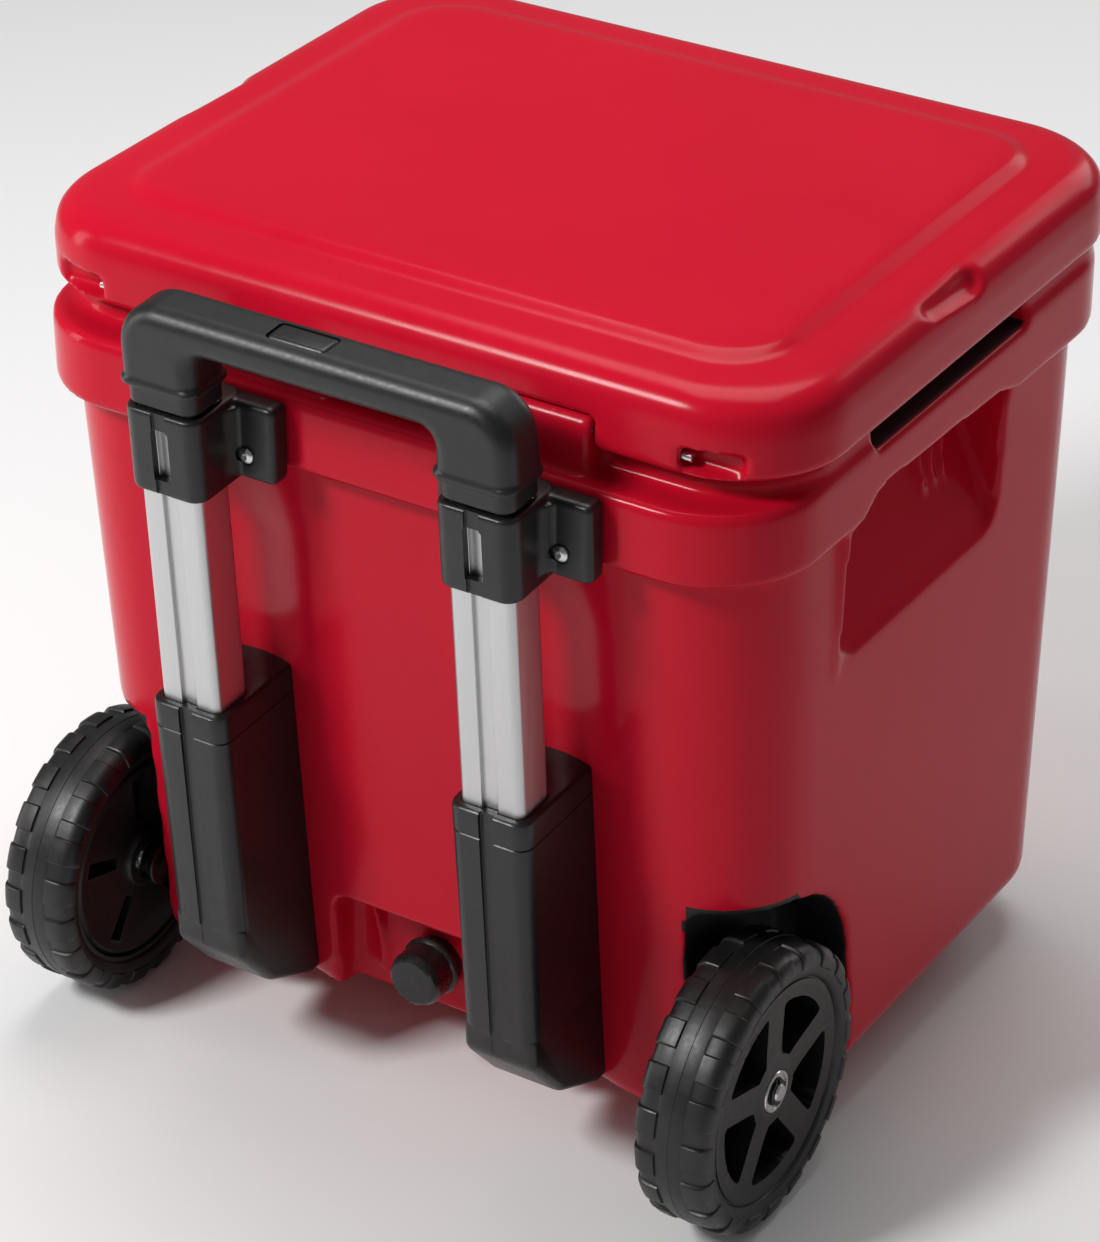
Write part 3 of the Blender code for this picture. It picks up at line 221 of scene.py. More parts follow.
def prism(name, profile, axis, start, end):
    """A profile drawn square to an axis and pushed along it: (y, z) for x, (x, z) for y, (x, y) for z."""
    spots = {
        "x": lambda a, b, along: (along, a, b),
        "y": lambda a, b, along: (a, along, b),
        "z": lambda a, b, along: (a, b, along),
    }
    return ring_solid(name, [[spots[axis](a, b, along) for a, b in profile] for along in (start, end)])


PLACE = {
    "x": lambda a, b, along: (along, a, b),
    "y": lambda a, b, along: (b, along, a),
}


def turned(name, profile, axis, centre, steps=96):
    """A solid turned about an axis: profile is a closed list of (radius, position along the axis)."""
    vertices = []
    for step in range(steps):
        angle = 2 * math.pi * step / steps
        for radius, along in profile:
            point = PLACE[axis](radius * math.cos(angle), radius * math.sin(angle), along)
            vertices.append(tuple(point[i] + centre[i] for i in range(3)))
    return mesh_object(name, vertices, band_faces(len(profile), steps, True))


def rod(name, radius, start, end, axis, centre, steps=48):
    """A plain round bar along an axis."""
    rings = []
    for along in (start, end):
        ring = []
        for step in range(steps):
            angle = 2 * math.pi * step / steps
            point = PLACE[axis](radius * math.cos(angle), radius * math.sin(angle), along)
            ring.append(tuple(point[i] + centre[i] for i in range(3)))
        rings.append(ring)
    return ring_solid(name, rings)


def bake(piece):
    """Apply the modifiers of a piece."""
    bpy.context.view_layer.update()
    graph = bpy.context.evaluated_depsgraph_get()
    result = bpy.data.meshes.new_from_object(piece.evaluated_get(graph))
    piece.modifiers.clear()
    piece.data = result
    return piece


def triangulate(piece):
    """Split every face, so that a Boolean never meets a bent polygon."""
    reshape(piece.data, lambda form: bmesh.ops.triangulate(form, faces=form.faces))


def combine(target, tool, operation):
    """Join or subtract a tool, which is used up."""
    triangulate(target)
    triangulate(tool)
    modifier = target.modifiers.new("boolean", 'BOOLEAN')
    modifier.object = tool
    modifier.operation = operation
    modifier.solver = 'EXACT'
    bake(target)
    bpy.data.objects.remove(tool, do_unlink=True)
    return target


def cut(target, tool):
    return combine(target, tool, 'DIFFERENCE')


def add(target, tool):
    return combine(target, tool, 'UNION')


def melt(piece, voxel, passes):
    """Turn sharp joins into the soft fillets of a moulding: a fine remesh, then a light smoothing."""
    remesh = piece.modifiers.new("remesh", 'REMESH')
    remesh.mode = 'VOXEL'
    remesh.voxel_size = voxel
    smooth = piece.modifiers.new("smooth", 'SMOOTH')
    smooth.factor = 0.5
    smooth.iterations = passes
    bake(piece)
    return shade(piece)


def shade(piece, angle=None):
    """Smooth shading, with edges sharper than the angle kept crisp."""
    def crisp(form):
        for edge in form.edges:
            edge.smooth = len(edge.link_faces) != 2 or edge.calc_face_angle(0.0) < math.radians(angle)

    for polygon in piece.data.polygons:
        polygon.use_smooth = True
    if angle is not None:
        reshape(piece.data, crisp)
    return piece


def soften(piece, width, segments=3, angle=32):
    """Round the edges of a crisp piece."""
    bevel = piece.modifiers.new("bevel", 'BEVEL')
    bevel.width = width
    bevel.segments = segments
    bevel.limit_method = 'ANGLE'
    bevel.angle_limit = math.radians(angle)
    bevel.miter_outer = 'MITER_ARC'
    return shade(bake(piece), 40)


def mirrored(piece, name):
    """The left-hand twin of a right-hand piece."""
    mesh = piece.data.copy()
    mesh.transform(Matrix.Scale(-1, 4, (1, 0, 0)))
    mesh.flip_normals()
    return place_object(name, mesh)


TILT = Matrix.Translation(HANDLE_ORIGIN) @ Matrix.Rotation(HANDLE_TILT, 4, 'X')


def to_world(piece):
    """Move a piece drawn upright on the handle's own axes to its leaning place."""
    piece.data.transform(TILT)
    return piece


def install(piece, material, slot, body, *cad_nodes, second=None, zone=None):
    """Move a finished piece into the row's frame, give it its materials and let it ride."""
    piece.data.materials.clear()
    piece.data.materials.append(material)
    if second:
        piece.data.materials.append(second)
    for polygon in piece.data.polygons:
        polygon.material_index = 1 if zone and zone(polygon.center) else 0
    piece.data.transform(Matrix.Translation((0, OFFSET_Y, 0)))
    if cad_nodes:
        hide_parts(*cad_nodes)
    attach(piece, body)
    return piece


# ---- materials

# Most of a noise texture's values lie between these two.
NOISE_LOW, NOISE_HIGH = 0.3, 0.7
RED_DEEP = (0.52, 0.0045, 0.021, 1.0)
RED_BRIGHT = (0.56, 0.006, 0.025, 1.0)
RED_SPECULAR = 0.13
METAL_GRAIN = 1400.0


def new_material(name):
    material = bpy.data.materials.new(name)
    material.use_nodes = True
    tree = material.node_tree
    return material, tree, tree.nodes["Principled BSDF"]


def put(node, values):
    """Set a node's inputs by name."""
    for name, value in values.items():
        node.inputs[name].default_value = value


def noise(tree, scale, detail=3.0, rough=0.5, spot=None):
    """Procedural noise, on the piece's own coordinates unless a mapped spot is given."""
    spot = spot or tree.nodes.new("ShaderNodeTexCoord").outputs["Object"]
    texture = tree.nodes.new("ShaderNodeTexNoise")
    put(texture, {"Scale": scale, "Detail": detail, "Roughness": rough})
    tree.links.new(spot, texture.inputs["Vector"])
    return texture.outputs["Fac"]


def ramp(tree, source, low, high):
    """A colour ramp between two colours."""
    node = tree.nodes.new("ShaderNodeValToRGB")
    node.color_ramp.elements[0].position = NOISE_LOW
    node.color_ramp.elements[1].position = NOISE_HIGH
    node.color_ramp.elements[0].color = low
    node.color_ramp.elements[1].color = high
    tree.links.new(source, node.inputs["Fac"])
    return node.outputs["Color"]


def spread(tree, source, low, high):
    """Map the useful part of a noise value onto a range."""
    node = tree.nodes.new("ShaderNodeMapRange")
    put(node, {"From Min": NOISE_LOW, "From Max": NOISE_HIGH, "To Min": low, "To Max": high})
    tree.links.new(source, node.inputs["Value"])
    return node.outputs["Result"]


def bump(tree, shader, layers):
    """Stack bump layers: (height, strength, distance)."""
    previous = None
    for height, strength, distance in layers:
        node = tree.nodes.new("ShaderNodeBump")
        put(node, {"Strength": strength, "Distance": distance})
        tree.links.new(height, node.inputs["Height"])
        if previous is not None:
            tree.links.new(previous, node.inputs["Normal"])
        previous = node.outputs["Normal"]
    tree.links.new(previous, shader.inputs["Normal"])


def grey(value):
    return (value, value, value, 1.0)


def moulded_red(name, rough_low, rough_high, grain):
    """Rotomoulded polyethylene: soft waviness, a little colour drift and a faint grain."""
    material, tree, shader = new_material(name)
    drift = noise(tree, 6.0, 4.0)
    tree.links.new(ramp(tree, drift, RED_DEEP, RED_BRIGHT), shader.inputs["Base Color"])
    tree.links.new(spread(tree, noise(tree, 45.0, 5.0, 0.6), rough_low, rough_high), shader.inputs["Roughness"])
    put(shader, {"Specular IOR Level": RED_SPECULAR})
    bump(tree, shader, [(noise(tree, 9.0, 0.0), 0.1, 0.002), (noise(tree, 900.0, 2.0), grain, 0.00015)])
    return material


def satin_black(name, base, rough, grain, scale):
    """Glass-filled nylon with a fine spark-eroded texture."""
    material, tree, shader = new_material(name)
    colour = ramp(tree, noise(tree, 60.0, 4.0), grey(base * 0.85), grey(base * 1.2))
    tree.links.new(colour, shader.inputs["Base Color"])
    tree.links.new(spread(tree, noise(tree, 300.0, 3.0), rough - 0.05, rough + 0.06), shader.inputs["Roughness"])
    put(shader, {"Specular IOR Level": 0.5})
    bump(tree, shader, [(noise(tree, scale, 3.0, 0.65), grain, 0.0002)])
    return material


def metal(name, tone, rough, streak_axis, stretch=90.0):
    """Metal with a fine directional finish."""
    material, tree, shader = new_material(name)
    coordinates = tree.nodes.new("ShaderNodeTexCoord")
    mapping = tree.nodes.new("ShaderNodeMapping")
    scale = [METAL_GRAIN] * 3
    scale["xyz".index(streak_axis)] = METAL_GRAIN / stretch
    put(mapping, {"Scale": scale})
    tree.links.new(coordinates.outputs["Object"], mapping.inputs["Vector"])
    streaks = noise(tree, 1.0, spot=mapping.outputs["Vector"])
    tree.links.new(ramp(tree, streaks, grey(tone * 0.93), grey(tone)), shader.inputs["Base Color"])
    tree.links.new(spread(tree, streaks, rough - 0.04, rough + 0.06), shader.inputs["Roughness"])
    put(shader, {"Metallic": 1.0})
    bump(tree, shader, [(streaks, 0.06, 0.0001)])
    return material


RED_BODY = moulded_red("red_body", 0.15, 0.21, 0.04)
RED_LID = moulded_red("red_lid", 0.17, 0.24, 0.05)
BLACK = satin_black("black_nylon", 0.0075, 0.36, 0.12, 2600.0)
BLACK_GRIP = satin_black("black_grip", 0.0085, 0.4, 0.18, 2200.0)
TYRE = satin_black("tyre_rubber", 0.0085, 0.4, 0.3, 1500.0)
HUB = satin_black("hub_nylon", 0.006, 0.4, 0.16, 1900.0)
# Near-black painted shade for the insides of the wheel arches and the finger slot under the lid.
PAINTED_SHADE_BLACK = satin_black("painted_shade_black", 0.004, 0.6, 0.3, 1500.0)
RUBBER = satin_black("latch_rubber", 0.02, 0.62, 0.15, 1700.0)
GLOSS_BLACK = satin_black("drain_nylon", 0.012, 0.26, 0.06, 2400.0)
SEAL = satin_black("seal_rubber", 0.05, 0.7, 0.12, 1600.0)
ANODISED = metal("anodised_aluminium", 0.6, 0.36, "z")
STEEL = metal("bright_steel", 0.66, 0.24, "x", 4.0)
# Dark steel: the real black oxide of the snap rings and axle flanges, and painted shade on the bearings' inner
# rings.
OXIDE_AND_SHADE_STEEL = metal("black_oxide_and_painted_shade_steel", 0.045, 0.38, "x", 4.0)


# ---- chest

def knuckle(x0, x1):
    """A hinge knuckle that stands on the rim's ledge."""
    profile = arc(HINGE_Y, HINGE_Z, KNUCKLE_RADIUS, 0, 180, 20)
    profile.append((HINGE_Y - KNUCKLE_RADIUS - 0.001, LEDGE_TOP - 0.003))
    profile.append((HINGE_Y + KNUCKLE_RADIUS, LEDGE_TOP - 0.003))
    return prism("knuckle", profile, "x", x0, x1)


def span(middle, half):
    """The limits of a range around a middle."""
    return (middle - half, middle + half)


def pair(side, a, b):
    """The limits of a range in x on one side of the chest, smaller first."""
    return (min(side * a, side * b), max(side * a, side * b))


# The arch's outline draws in towards its inner wall: (x, inset).
ARCH_FILLET = ((ARCH_WALL, 0.012), (ARCH_WALL + 0.001, 0.0075), (ARCH_WALL + 0.0035, 0.0035),
               (ARCH_WALL + 0.0075, 0.001), (ARCH_WALL + 0.012, 0.0), (0.3, 0.0))


def arch_room(side):
    """The wheel arch: flat on top and rounded at the front."""
    front = WHEEL_Y + ARCH_RADIUS
    rings = []
    for x, inset in ARCH_FILLET:
        bend = ARCH_BEND - inset * 0.5
        top = ARCH_TOP - inset
        edge = front - inset * 0.5
        profile = [(WHEEL_Y - 0.2, -0.02), (WHEEL_Y - 0.2, top)]
        profile += arc(edge - 0.0045 - bend, top - bend, bend, 90, 0, 20)
        profile += [(edge, WHEEL_RADIUS), (edge, -0.02)]
        rings.append([(side * x, y, z) for y, z in profile])
    return ring_solid("arch", rings)


def pocket_loft(side, sections):
    """A four-sided room: each section is (z, inside, outside, rear, front)."""
    rings = []
    for z, inside, outside, rear, front in sections:
        rings.append([(side * inside, rear, z), (side * outside, rear, z),
                      (side * outside, front, z), (side * inside, front, z)])
    return ring_solid("pocket", rings)


# Sections of the hand pocket: (z, depth behind the wall, rear, front).
POCKET_SECTIONS = (
    (0.334, 0.002, -0.0945, 0.058), (0.3375, 0.0036, -0.103, 0.068),
    (0.344, 0.0068, -0.109, 0.074), (0.352, 0.0106, -0.112, 0.0765),
    (0.396, POCKET_DEPTH, -0.111, 0.0795), (0.44, POCKET_DEPTH, -0.11, 0.082),
)
POCKET_BEHIND_RIM = 0.2355
POCKET_MOUTH = 0.262
# The lip cut in the rim above the pocket: (y, z).
POCKET_LIP = ((-0.115, 0.418), (0.085, 0.418), (0.085, 0.4235),
              (0.056, 0.433), (-0.076, 0.438), (-0.088, 0.436))


def pocket_rooms(side):
    """The wedge-shaped hand pocket: its deep part behind the rim, its mouth, and the lip cut in the rim."""
    deep, mouth = [], []
    for z, depth, rear, front in POCKET_SECTIONS:
        inside = WALL_HALF_WIDTH - depth
        deep.append((z, inside, POCKET_BEHIND_RIM, rear, front))
        mouth.append((min(z, RIM_BOTTOM), inside, POCKET_MOUTH, rear, front))
    lip = prism("lip", POCKET_LIP, "x", side * 0.23, side * POCKET_MOUTH)
    return pocket_loft(side, deep), pocket_loft(side, mouth), lip


def pocket_ribs(side):
    """Tapered ribs on the pocket's slanting floor, towards its front end."""
    top = 0.442
    ribs = []
    for y, lean in ((0.03, 0.1), (0.046, 0.16), (0.062, 0.22)):
        rings = []
        for z, depth, tall, half in ((0.372, 0.0205, 0.0005, 0.0006), (0.396, POCKET_DEPTH, 0.008, 0.0013),
                                     (top, POCKET_DEPTH, 0.019, 0.0017)):
            floor_x = side * (WALL_HALF_WIDTH - depth - 0.004)
            tip_x = side * (WALL_HALF_WIDTH - depth + tall)
            here = y + (z - top) * lean
            rings.append([(floor_x, here - half, z), (tip_x, here - half, z),
                          (tip_x, here + half, z), (floor_x, here + half, z)])
        ribs.append(ring_solid("rib", rings))
    return ribs


def pocket_frame(side):
    """The soft raised band that runs down from the rim beside the pocket."""
    y = -0.112
    width = 0.011
    x0 = 0.233
    rings = []
    for z, reach in ((0.33, 0.0006), (0.35, 0.0022), (0.4, 0.005), (0.4265, 0.008)):
        x1 = WALL_HALF_WIDTH - 0.0006 + reach
        rings.append([(side * x0, y, z), (side * x1, y, z), (side * x1, y - width * 0.35, z),
                      (side * (WALL_HALF_WIDTH - 0.002), y - width, z), (side * x0, y - width, z)])
    return ring_solid("band", rings)


# The finger slot on each side of the ledge, under the lid's edge.
SLOT_X, SLOT_Y, SLOT_Z = (0.224, 0.26), (-0.094, 0.086), (0.464, 0.5)


def build_body():
    """The red chest: wall, rim, ledge, knuckles and tub, then every hollow cut into it."""
    foot = 0.009
    body = loft("chest_moulding", [
        (CHEST_BOTTOM, WALL_HALF_WIDTH - 0.0045 - foot, WALL_REAR_BOTTOM + foot,
         WALL_FRONT_BOTTOM - foot, CORNER_RADIUS - 0.012, SCALLOP_DEPTH),
        (CHEST_BOTTOM + 0.0025, WALL_HALF_WIDTH - 0.0065, WALL_REAR_BOTTOM + 0.0025,
         WALL_FRONT_BOTTOM - 0.0025, CORNER_RADIUS - 0.008, SCALLOP_DEPTH),
        (CHEST_BOTTOM + foot, WALL_HALF_WIDTH - 0.004, WALL_REAR_BOTTOM, WALL_FRONT_BOTTOM,
         CORNER_RADIUS - 0.006, SCALLOP_DEPTH),
        (RIM_BOTTOM - 0.055, WALL_HALF_WIDTH, -0.2045, 0.2065, CORNER_RADIUS, SCALLOP_DEPTH),
        (RIM_BOTTOM - 0.015, WALL_HALF_WIDTH, -0.2075, 0.208, CORNER_RADIUS, SCALLOP_DEPTH * 0.4),
        (RIM_BOTTOM + 0.001, WALL_HALF_WIDTH, WALL_REAR_TOP, WALL_FRONT_TOP, CORNER_RADIUS, 0.001),
    ], wall_outline)
    rim = []
    for z, inset, radius in ((RIM_BOTTOM, 0.002, 0.064), (RIM_BOTTOM + 0.002, 0.0, 0.065),
                             (LEDGE_TOP - 0.004, 0.0, 0.065), (LEDGE_TOP - 0.0012, 0.0012, 0.064),
                             (LEDGE_TOP, 0.004, 0.061)):
        rim.append((z, RIM_HALF_WIDTH - inset, -RIM_HALF_DEPTH + inset, RIM_HALF_DEPTH - inset, radius))
    add(body, loft("rim", rim))
    add(body, loft("upper", [
        (LEDGE_TOP - 0.004, 0.2465, -0.1935, 0.2165, 0.055),
        (RIM_TOP - 0.002, 0.2465, -0.1935, 0.2165, 0.055),
        (RIM_TOP, 0.2445, -0.1915, 0.2145, 0.053),
    ]))
    for side in (-1, 1):
        add(body, knuckle(*pair(side, *KNUCKLE_ENDS)))
    cut(body, loft("tub", [
        (TUB_FLOOR, TUB_HALF_WIDTH - 0.012, TUB_REAR + 0.014, TUB_FRONT - 0.01, 0.03),
        (TUB_FLOOR + 0.004, TUB_HALF_WIDTH - 0.008, TUB_REAR + 0.009, TUB_FRONT - 0.006, 0.034),
        (TUB_FLOOR + 0.012, TUB_HALF_WIDTH - 0.005, TUB_REAR + 0.005, TUB_FRONT - 0.003, 0.036),
        (RIM_TOP - 0.02, TUB_HALF_WIDTH, TUB_REAR, TUB_FRONT, 0.04),
        (0.6, TUB_HALF_WIDTH + 0.002, TUB_REAR - 0.002, TUB_FRONT + 0.002, 0.04),
    ]))
    for side in (-1, 1):
        cut(body, arch_room(side))
        for room in pocket_rooms(side):
            cut(body, room)
        for rib in pocket_ribs(side):
            add(body, rib)
        add(body, pocket_frame(side))
        cut(body, box("slot", pair(side, *SLOT_X), SLOT_Y, SLOT_Z, 0.0025))
    half = RECESS_HALF_WIDTH
    shoulder = RECESS_TOP - 0.016
    bend = 0.012
    profile = [(-half, -0.02), (-half, shoulder)]
    profile += arc(-half + bend, shoulder, bend, 180, 90, 8)
    profile += arc(half - bend, shoulder, bend, 90, 0, 8)
    profile += [(half, -0.02)]
    cut(body, prism("recess", profile, "y", -0.3, RECESS_BACK))
    for x in (-0.04, 0.04):
        rings = []
        for z, depth in ((CHEST_BOTTOM + 0.004, 0.001), (0.07, 0.004), (RECESS_TOP + 0.004, 0.016)):
            rings.append([(x - 0.0022, RECESS_BACK + 0.004, z), (x + 0.0022, RECESS_BACK + 0.004, z),
                          (x + 0.0016, RECESS_BACK - depth, z), (x - 0.0016, RECESS_BACK - depth, z)])
        add(body, ring_solid("rib", rings))
    for side in (-1, 1):
        cut(body, rod("pin_hole", PIN_HOLE_RADIUS, *pair(side, 0.01, 0.205), "x", (0, HINGE_Y, HINGE_Z)))
    cut(body, rod("drain_hole", DRAIN_HOLE_RADIUS, -0.3, TUB_REAR + 0.04, "y", (0, 0, DRAIN_Z)))
    return melt(body, VOXEL, 5)


# ---- lid

def latch_room(side, grow):
    """The notch in the lid's front edge in which a latch strap turns."""
    return box("latch_room", span(side * LATCH_X, LATCH_ROOM_HALF_WIDTH + grow),
               (LATCH_PIN_Y - LATCH_ROOM_DEPTH - grow, 0.23), (0.47, LATCH_ROOM_TOP + grow), 0.0015)


# The lid's outline from bottom to top: (z, inset, corner radius).
LID_SECTIONS = (
    (LID_BOTTOM, 0.0035, 0.062), (LID_BOTTOM + 0.0035, 0.0005, 0.065), (LID_BOTTOM + 0.0245, 0.0, 0.066),
    (0.518, 0.0012, 0.066), (0.522, 0.0026, 0.065), (0.5255, 0.005, 0.064), (0.5283, 0.008, 0.062),
    (0.5302, 0.0115, 0.06), (0.5315, 0.0155, 0.057), (0.5323, 0.0205, 0.054), (0.5333, 0.039, 0.042),
    (0.5343, 0.042, 0.039), (0.5363, 0.0455, 0.036), (0.5374, 0.049, 0.033), (LID_TOP, 0.056, 0.027),
)
# The hollow in the lid's side edge, above the finger slot: (y, inner x, z of its floor).
SIDE_NOTCH = (
    (-0.066, 0.253, 0.533), (-0.056, 0.248, 0.526), (-0.04, 0.2455, 0.52), (0.006, 0.2445, 0.516),
    (0.013, 0.2455, 0.517), (0.017, 0.25, 0.521), (0.018, 0.255, 0.529),
)


def side_notch(side):
    """The cutter for the hollow in one side edge of the lid."""
    rings = []
    for y, inside, drop in SIDE_NOTCH:
        section = ((inside, 0.542), (inside, 0.53), (inside + 0.002, drop + 0.004),
                   (0.259, drop), (0.27, drop - 0.001), (0.27, 0.542))
        rings.append([(side * x, y, z) for x, z in section])
    return ring_solid("side_notch", rings)


def build_lid():
    """The red lid: a raised panel on top, a lip below, and room for knuckles, pins, fingers and latches."""
    lid = loft("lid_moulding", [(z, LID_HALF_WIDTH - inset, LID_REAR + inset, LID_FRONT - inset, radius)
                                for z, inset, radius in LID_SECTIONS])
    add(lid, loft("lip", [
        (0.474, 0.17, -0.146, 0.148, 0.034),
        (0.478, 0.1735, -0.1495, 0.1515, 0.036),
        (LID_BOTTOM + 0.004, 0.1735, -0.1495, 0.1515, 0.036),
    ]))
    reach = KNUCKLE_RADIUS + 0.0012
    for side in (-1, 1):
        room = arc(HINGE_Y, HINGE_Z, reach, 90, 0, 16)
        room += [(HINGE_Y + reach, LID_BOTTOM - 0.01), (-0.23, LID_BOTTOM - 0.01), (-0.23, HINGE_Z + reach)]
        ends = pair(side, KNUCKLE_ENDS[0] - 0.0015, KNUCKLE_ENDS[1] + 0.0015)
        cut(lid, prism("knuckle_room", room, "x", *ends))
        cut(lid, rod("pin_hole", PIN_HOLE_RADIUS, *pair(side, 0.008, 0.21), "x", (0, HINGE_Y, HINGE_Z)))
        cut(lid, box("corner_pocket", pair(side, 0.19, 0.226), (-0.23, HINGE_Y + 0.006), (0.4875, 0.5015), 0.002))
        cut(lid, side_notch(side))
        cut(lid, latch_room(side, 0.0))
    melt(lid, VOXEL * 0.9, 4)
    for side in (-1, 1):
        cut(lid, latch_room(side, 0.0004))
    return shade(lid, 40)


def in_painted_shade(point):
    """Whether a spot lies inside a wheel arch or in the finger slot under the lid, where black is put on as
    painted shade.
    """
    across = abs(point.x)
    rise = point.z - CHEST_BOTTOM
    side_wall = 0.237 + 0.0125 * rise
    rear_wall = -0.181 - 0.073 * rise
    # Painted shade: black over the inner walls and roof of each wheel arch.
    arch_shade = (ARCH_WALL - 0.002 < across < side_wall - 0.0018 and point.z < ARCH_TOP + 0.0035
              and rear_wall + 0.0018 < point.y < WHEEL_Y + ARCH_RADIUS + 0.0035)
    # Painted shade: black over the finger slot under the lid's edge.
    slot = 0.2215 < across < 0.2475 and -0.0925 < point.y < 0.0845 and 0.4625 < point.z < 0.481
    return arch_shade or slot


# The wheel arches and the finger slot take a black second material as painted shade.
install(build_body(), RED_BODY, "red_moulding", "chest", "body_shell", "body_foam", second=PAINTED_SHADE_BLACK, zone=in_painted_shade)
install(build_lid(), RED_LID, "red_moulding", "lid", "lid_shell", "lid_foam")

gasket = loft("lid_seal", [
    (RIM_TOP + 0.0003, 0.1905, -0.1655, 0.1675, 0.044),
    (RIM_TOP + 0.001, 0.1925, -0.1675, 0.1695, 0.046),
    (LID_BOTTOM - 0.0003, 0.1925, -0.1675, 0.1695, 0.046),
])
cut(gasket, loft("hole", [(0.47, 0.1865, -0.1615, 0.1635, 0.042), (0.5, 0.1865, -0.1615, 0.1635, 0.042)]))
install(soften(gasket, 0.0003, 2), SEAL, "seal", "lid", "lid_gasket")

for side, label in SIDES:
    pin = rod("hinge_rod_" + label, PIN_RADIUS, *pair(side, 0.02, 0.196), "x", (0, HINGE_Y, HINGE_Z))
    install(soften(pin, 0.0006), STEEL, "steel", "chest", "hinge_pin_" + label)


# ---- wheels

LUGS = 20
# One side of the tyre's section: (radius, share of the half width, a lug's lift, a lug's push sideways).
TYRE_SECTION = (
    (0.0875, 0.008, 0, 0), (0.0872, 0.02, 0, 0), (0.0871, 0.18, 0, 0), (0.0867, 0.3, 0, 0),
    (0.0865, 0.345, 0, 0), (0.0864, 0.352, 0.001, 0), (0.0863, 0.368, 0.0015, 0),
    (0.0862, 0.45, 0.0017, 0), (0.086, 0.56, 0.0019, 0),
    (0.0856, 0.68, 0.0021, 0), (0.0849, 0.78, 0.0022, 0.0001), (0.0837, 0.86, 0.0021, 0.0003),
    (0.0818, 0.915, 0.0015, 0.0006), (0.0798, 0.945, 0.0009, 0.0009), (0.0778, 0.955, 0.0004, 0.001),
    (0.0762, 0.955, 0, 0.0009), (0.0755, 0.952, 0, 0), (0.0735, 0.93, 0, 0), (0.0715, 0.905, 0, 0),
    (0.07, 0.86, 0, 0), (0.0692, 0.8, 0, 0), (0.0665, 0.79, 0, 0), (0.066, 0.72, 0, 0),
)
# Around the tyre: where the steps of one lug lie, as shares of its pitch, and how high each stands.
LUG_PHASES = (0.0, 0.018, 0.045, 0.19, 0.33, 0.46, 0.585, 0.612, 0.63, 0.76, 0.9)
BAND_SHARE = 0.3
LUG_SHAPE = (0.0, 0.75, 1.0, 1.0, 1.0, 1.0, 1.0, 0.75, 0.0, 0.0, 0.0)


def tyre(label):
    """A moulded tyre: a row of raised square lugs on each shoulder, staggered, and a smooth centre band."""
    middle = (WHEEL_INNER + WHEEL_OUTER) / 2
    half = (WHEEL_OUTER - WHEEL_INNER) / 2
    vertices = []
    for lug in range(LUGS):
        for phase, shape in zip(LUG_PHASES, LUG_SHAPE):
            for direction in (-1, 1):
                order = TYRE_SECTION if direction > 0 else reversed(TYRE_SECTION)
                stagger = 0.5 if direction > 0 else 0.0
                angle = 2 * math.pi * (lug + phase + stagger) / LUGS
                for radius, share, lift, push in order:
                    spin = angle
                    if share <= BAND_SHARE:
                        spin = 2 * math.pi * (lug + phase + stagger * (share / BAND_SHARE)) / LUGS
                    r = radius + lift * shape
                    x = middle + direction * (half * share + push * shape)
                    vertices.append((x, WHEEL_Y + r * math.cos(spin), WHEEL_RADIUS + r * math.sin(spin)))
    faces = band_faces(2 * len(TYRE_SECTION), LUGS * len(LUG_PHASES), True)
    return shade(mesh_object("tread_" + label, vertices, faces), 26)


SPOKES = 5


def window_cutter(middle_angle, outer, inner, spoke_half, floor):
    """One opening between two spokes: concentric arcs, sides parallel to the spokes and rounded corners."""
    span = math.radians(180 / SPOKES)
    steps = 12
    profile = []
    for radius, direction in ((outer, 1), (inner, -1)):
        half = span - math.asin(spoke_half / radius)
        for i in range(steps + 1):
            angle = middle_angle + half * (2 * i / steps - 1) * direction
            profile.append((radius * math.cos(angle), radius * math.sin(angle)))
    rings = [[(x, WHEEL_Y + y, WHEEL_RADIUS + z) for y, z in profile] for x in (floor, WHEEL_OUTER + 0.01)]
    def round_corners(form):
        corners = []
        for edge in form.edges:
            along = abs(edge.verts[0].co.x - edge.verts[1].co.x)
            if along > 0.01 and edge.calc_face_angle(0.0) > math.radians(40):
                corners.append(edge)
        bmesh.ops.bevel(form, geom=corners, offset=0.0038, segments=5, profile=0.5, affect='EDGES')

    cutter = ring_solid("window", rings)
    reshape(cutter.data, round_corners)
    return cutter


def spoke_slot(angle):
    """The hollow in the back of a spoke."""
    turn = math.radians(angle)
    rings = []
    for x in (WHEEL_INNER - 0.01, WHEEL_OUTER - 0.011):
        ring = []
        for radius, half in ((0.027, -0.004), (0.056, -0.0052), (0.056, 0.0052), (0.027, 0.004)):
            y = math.cos(turn) * radius - math.sin(turn) * half
            z = math.sin(turn) * radius + math.cos(turn) * half
            ring.append((x, WHEEL_Y + y, WHEEL_RADIUS + z))
        rings.append(ring)
    return ring_solid("slot", rings)


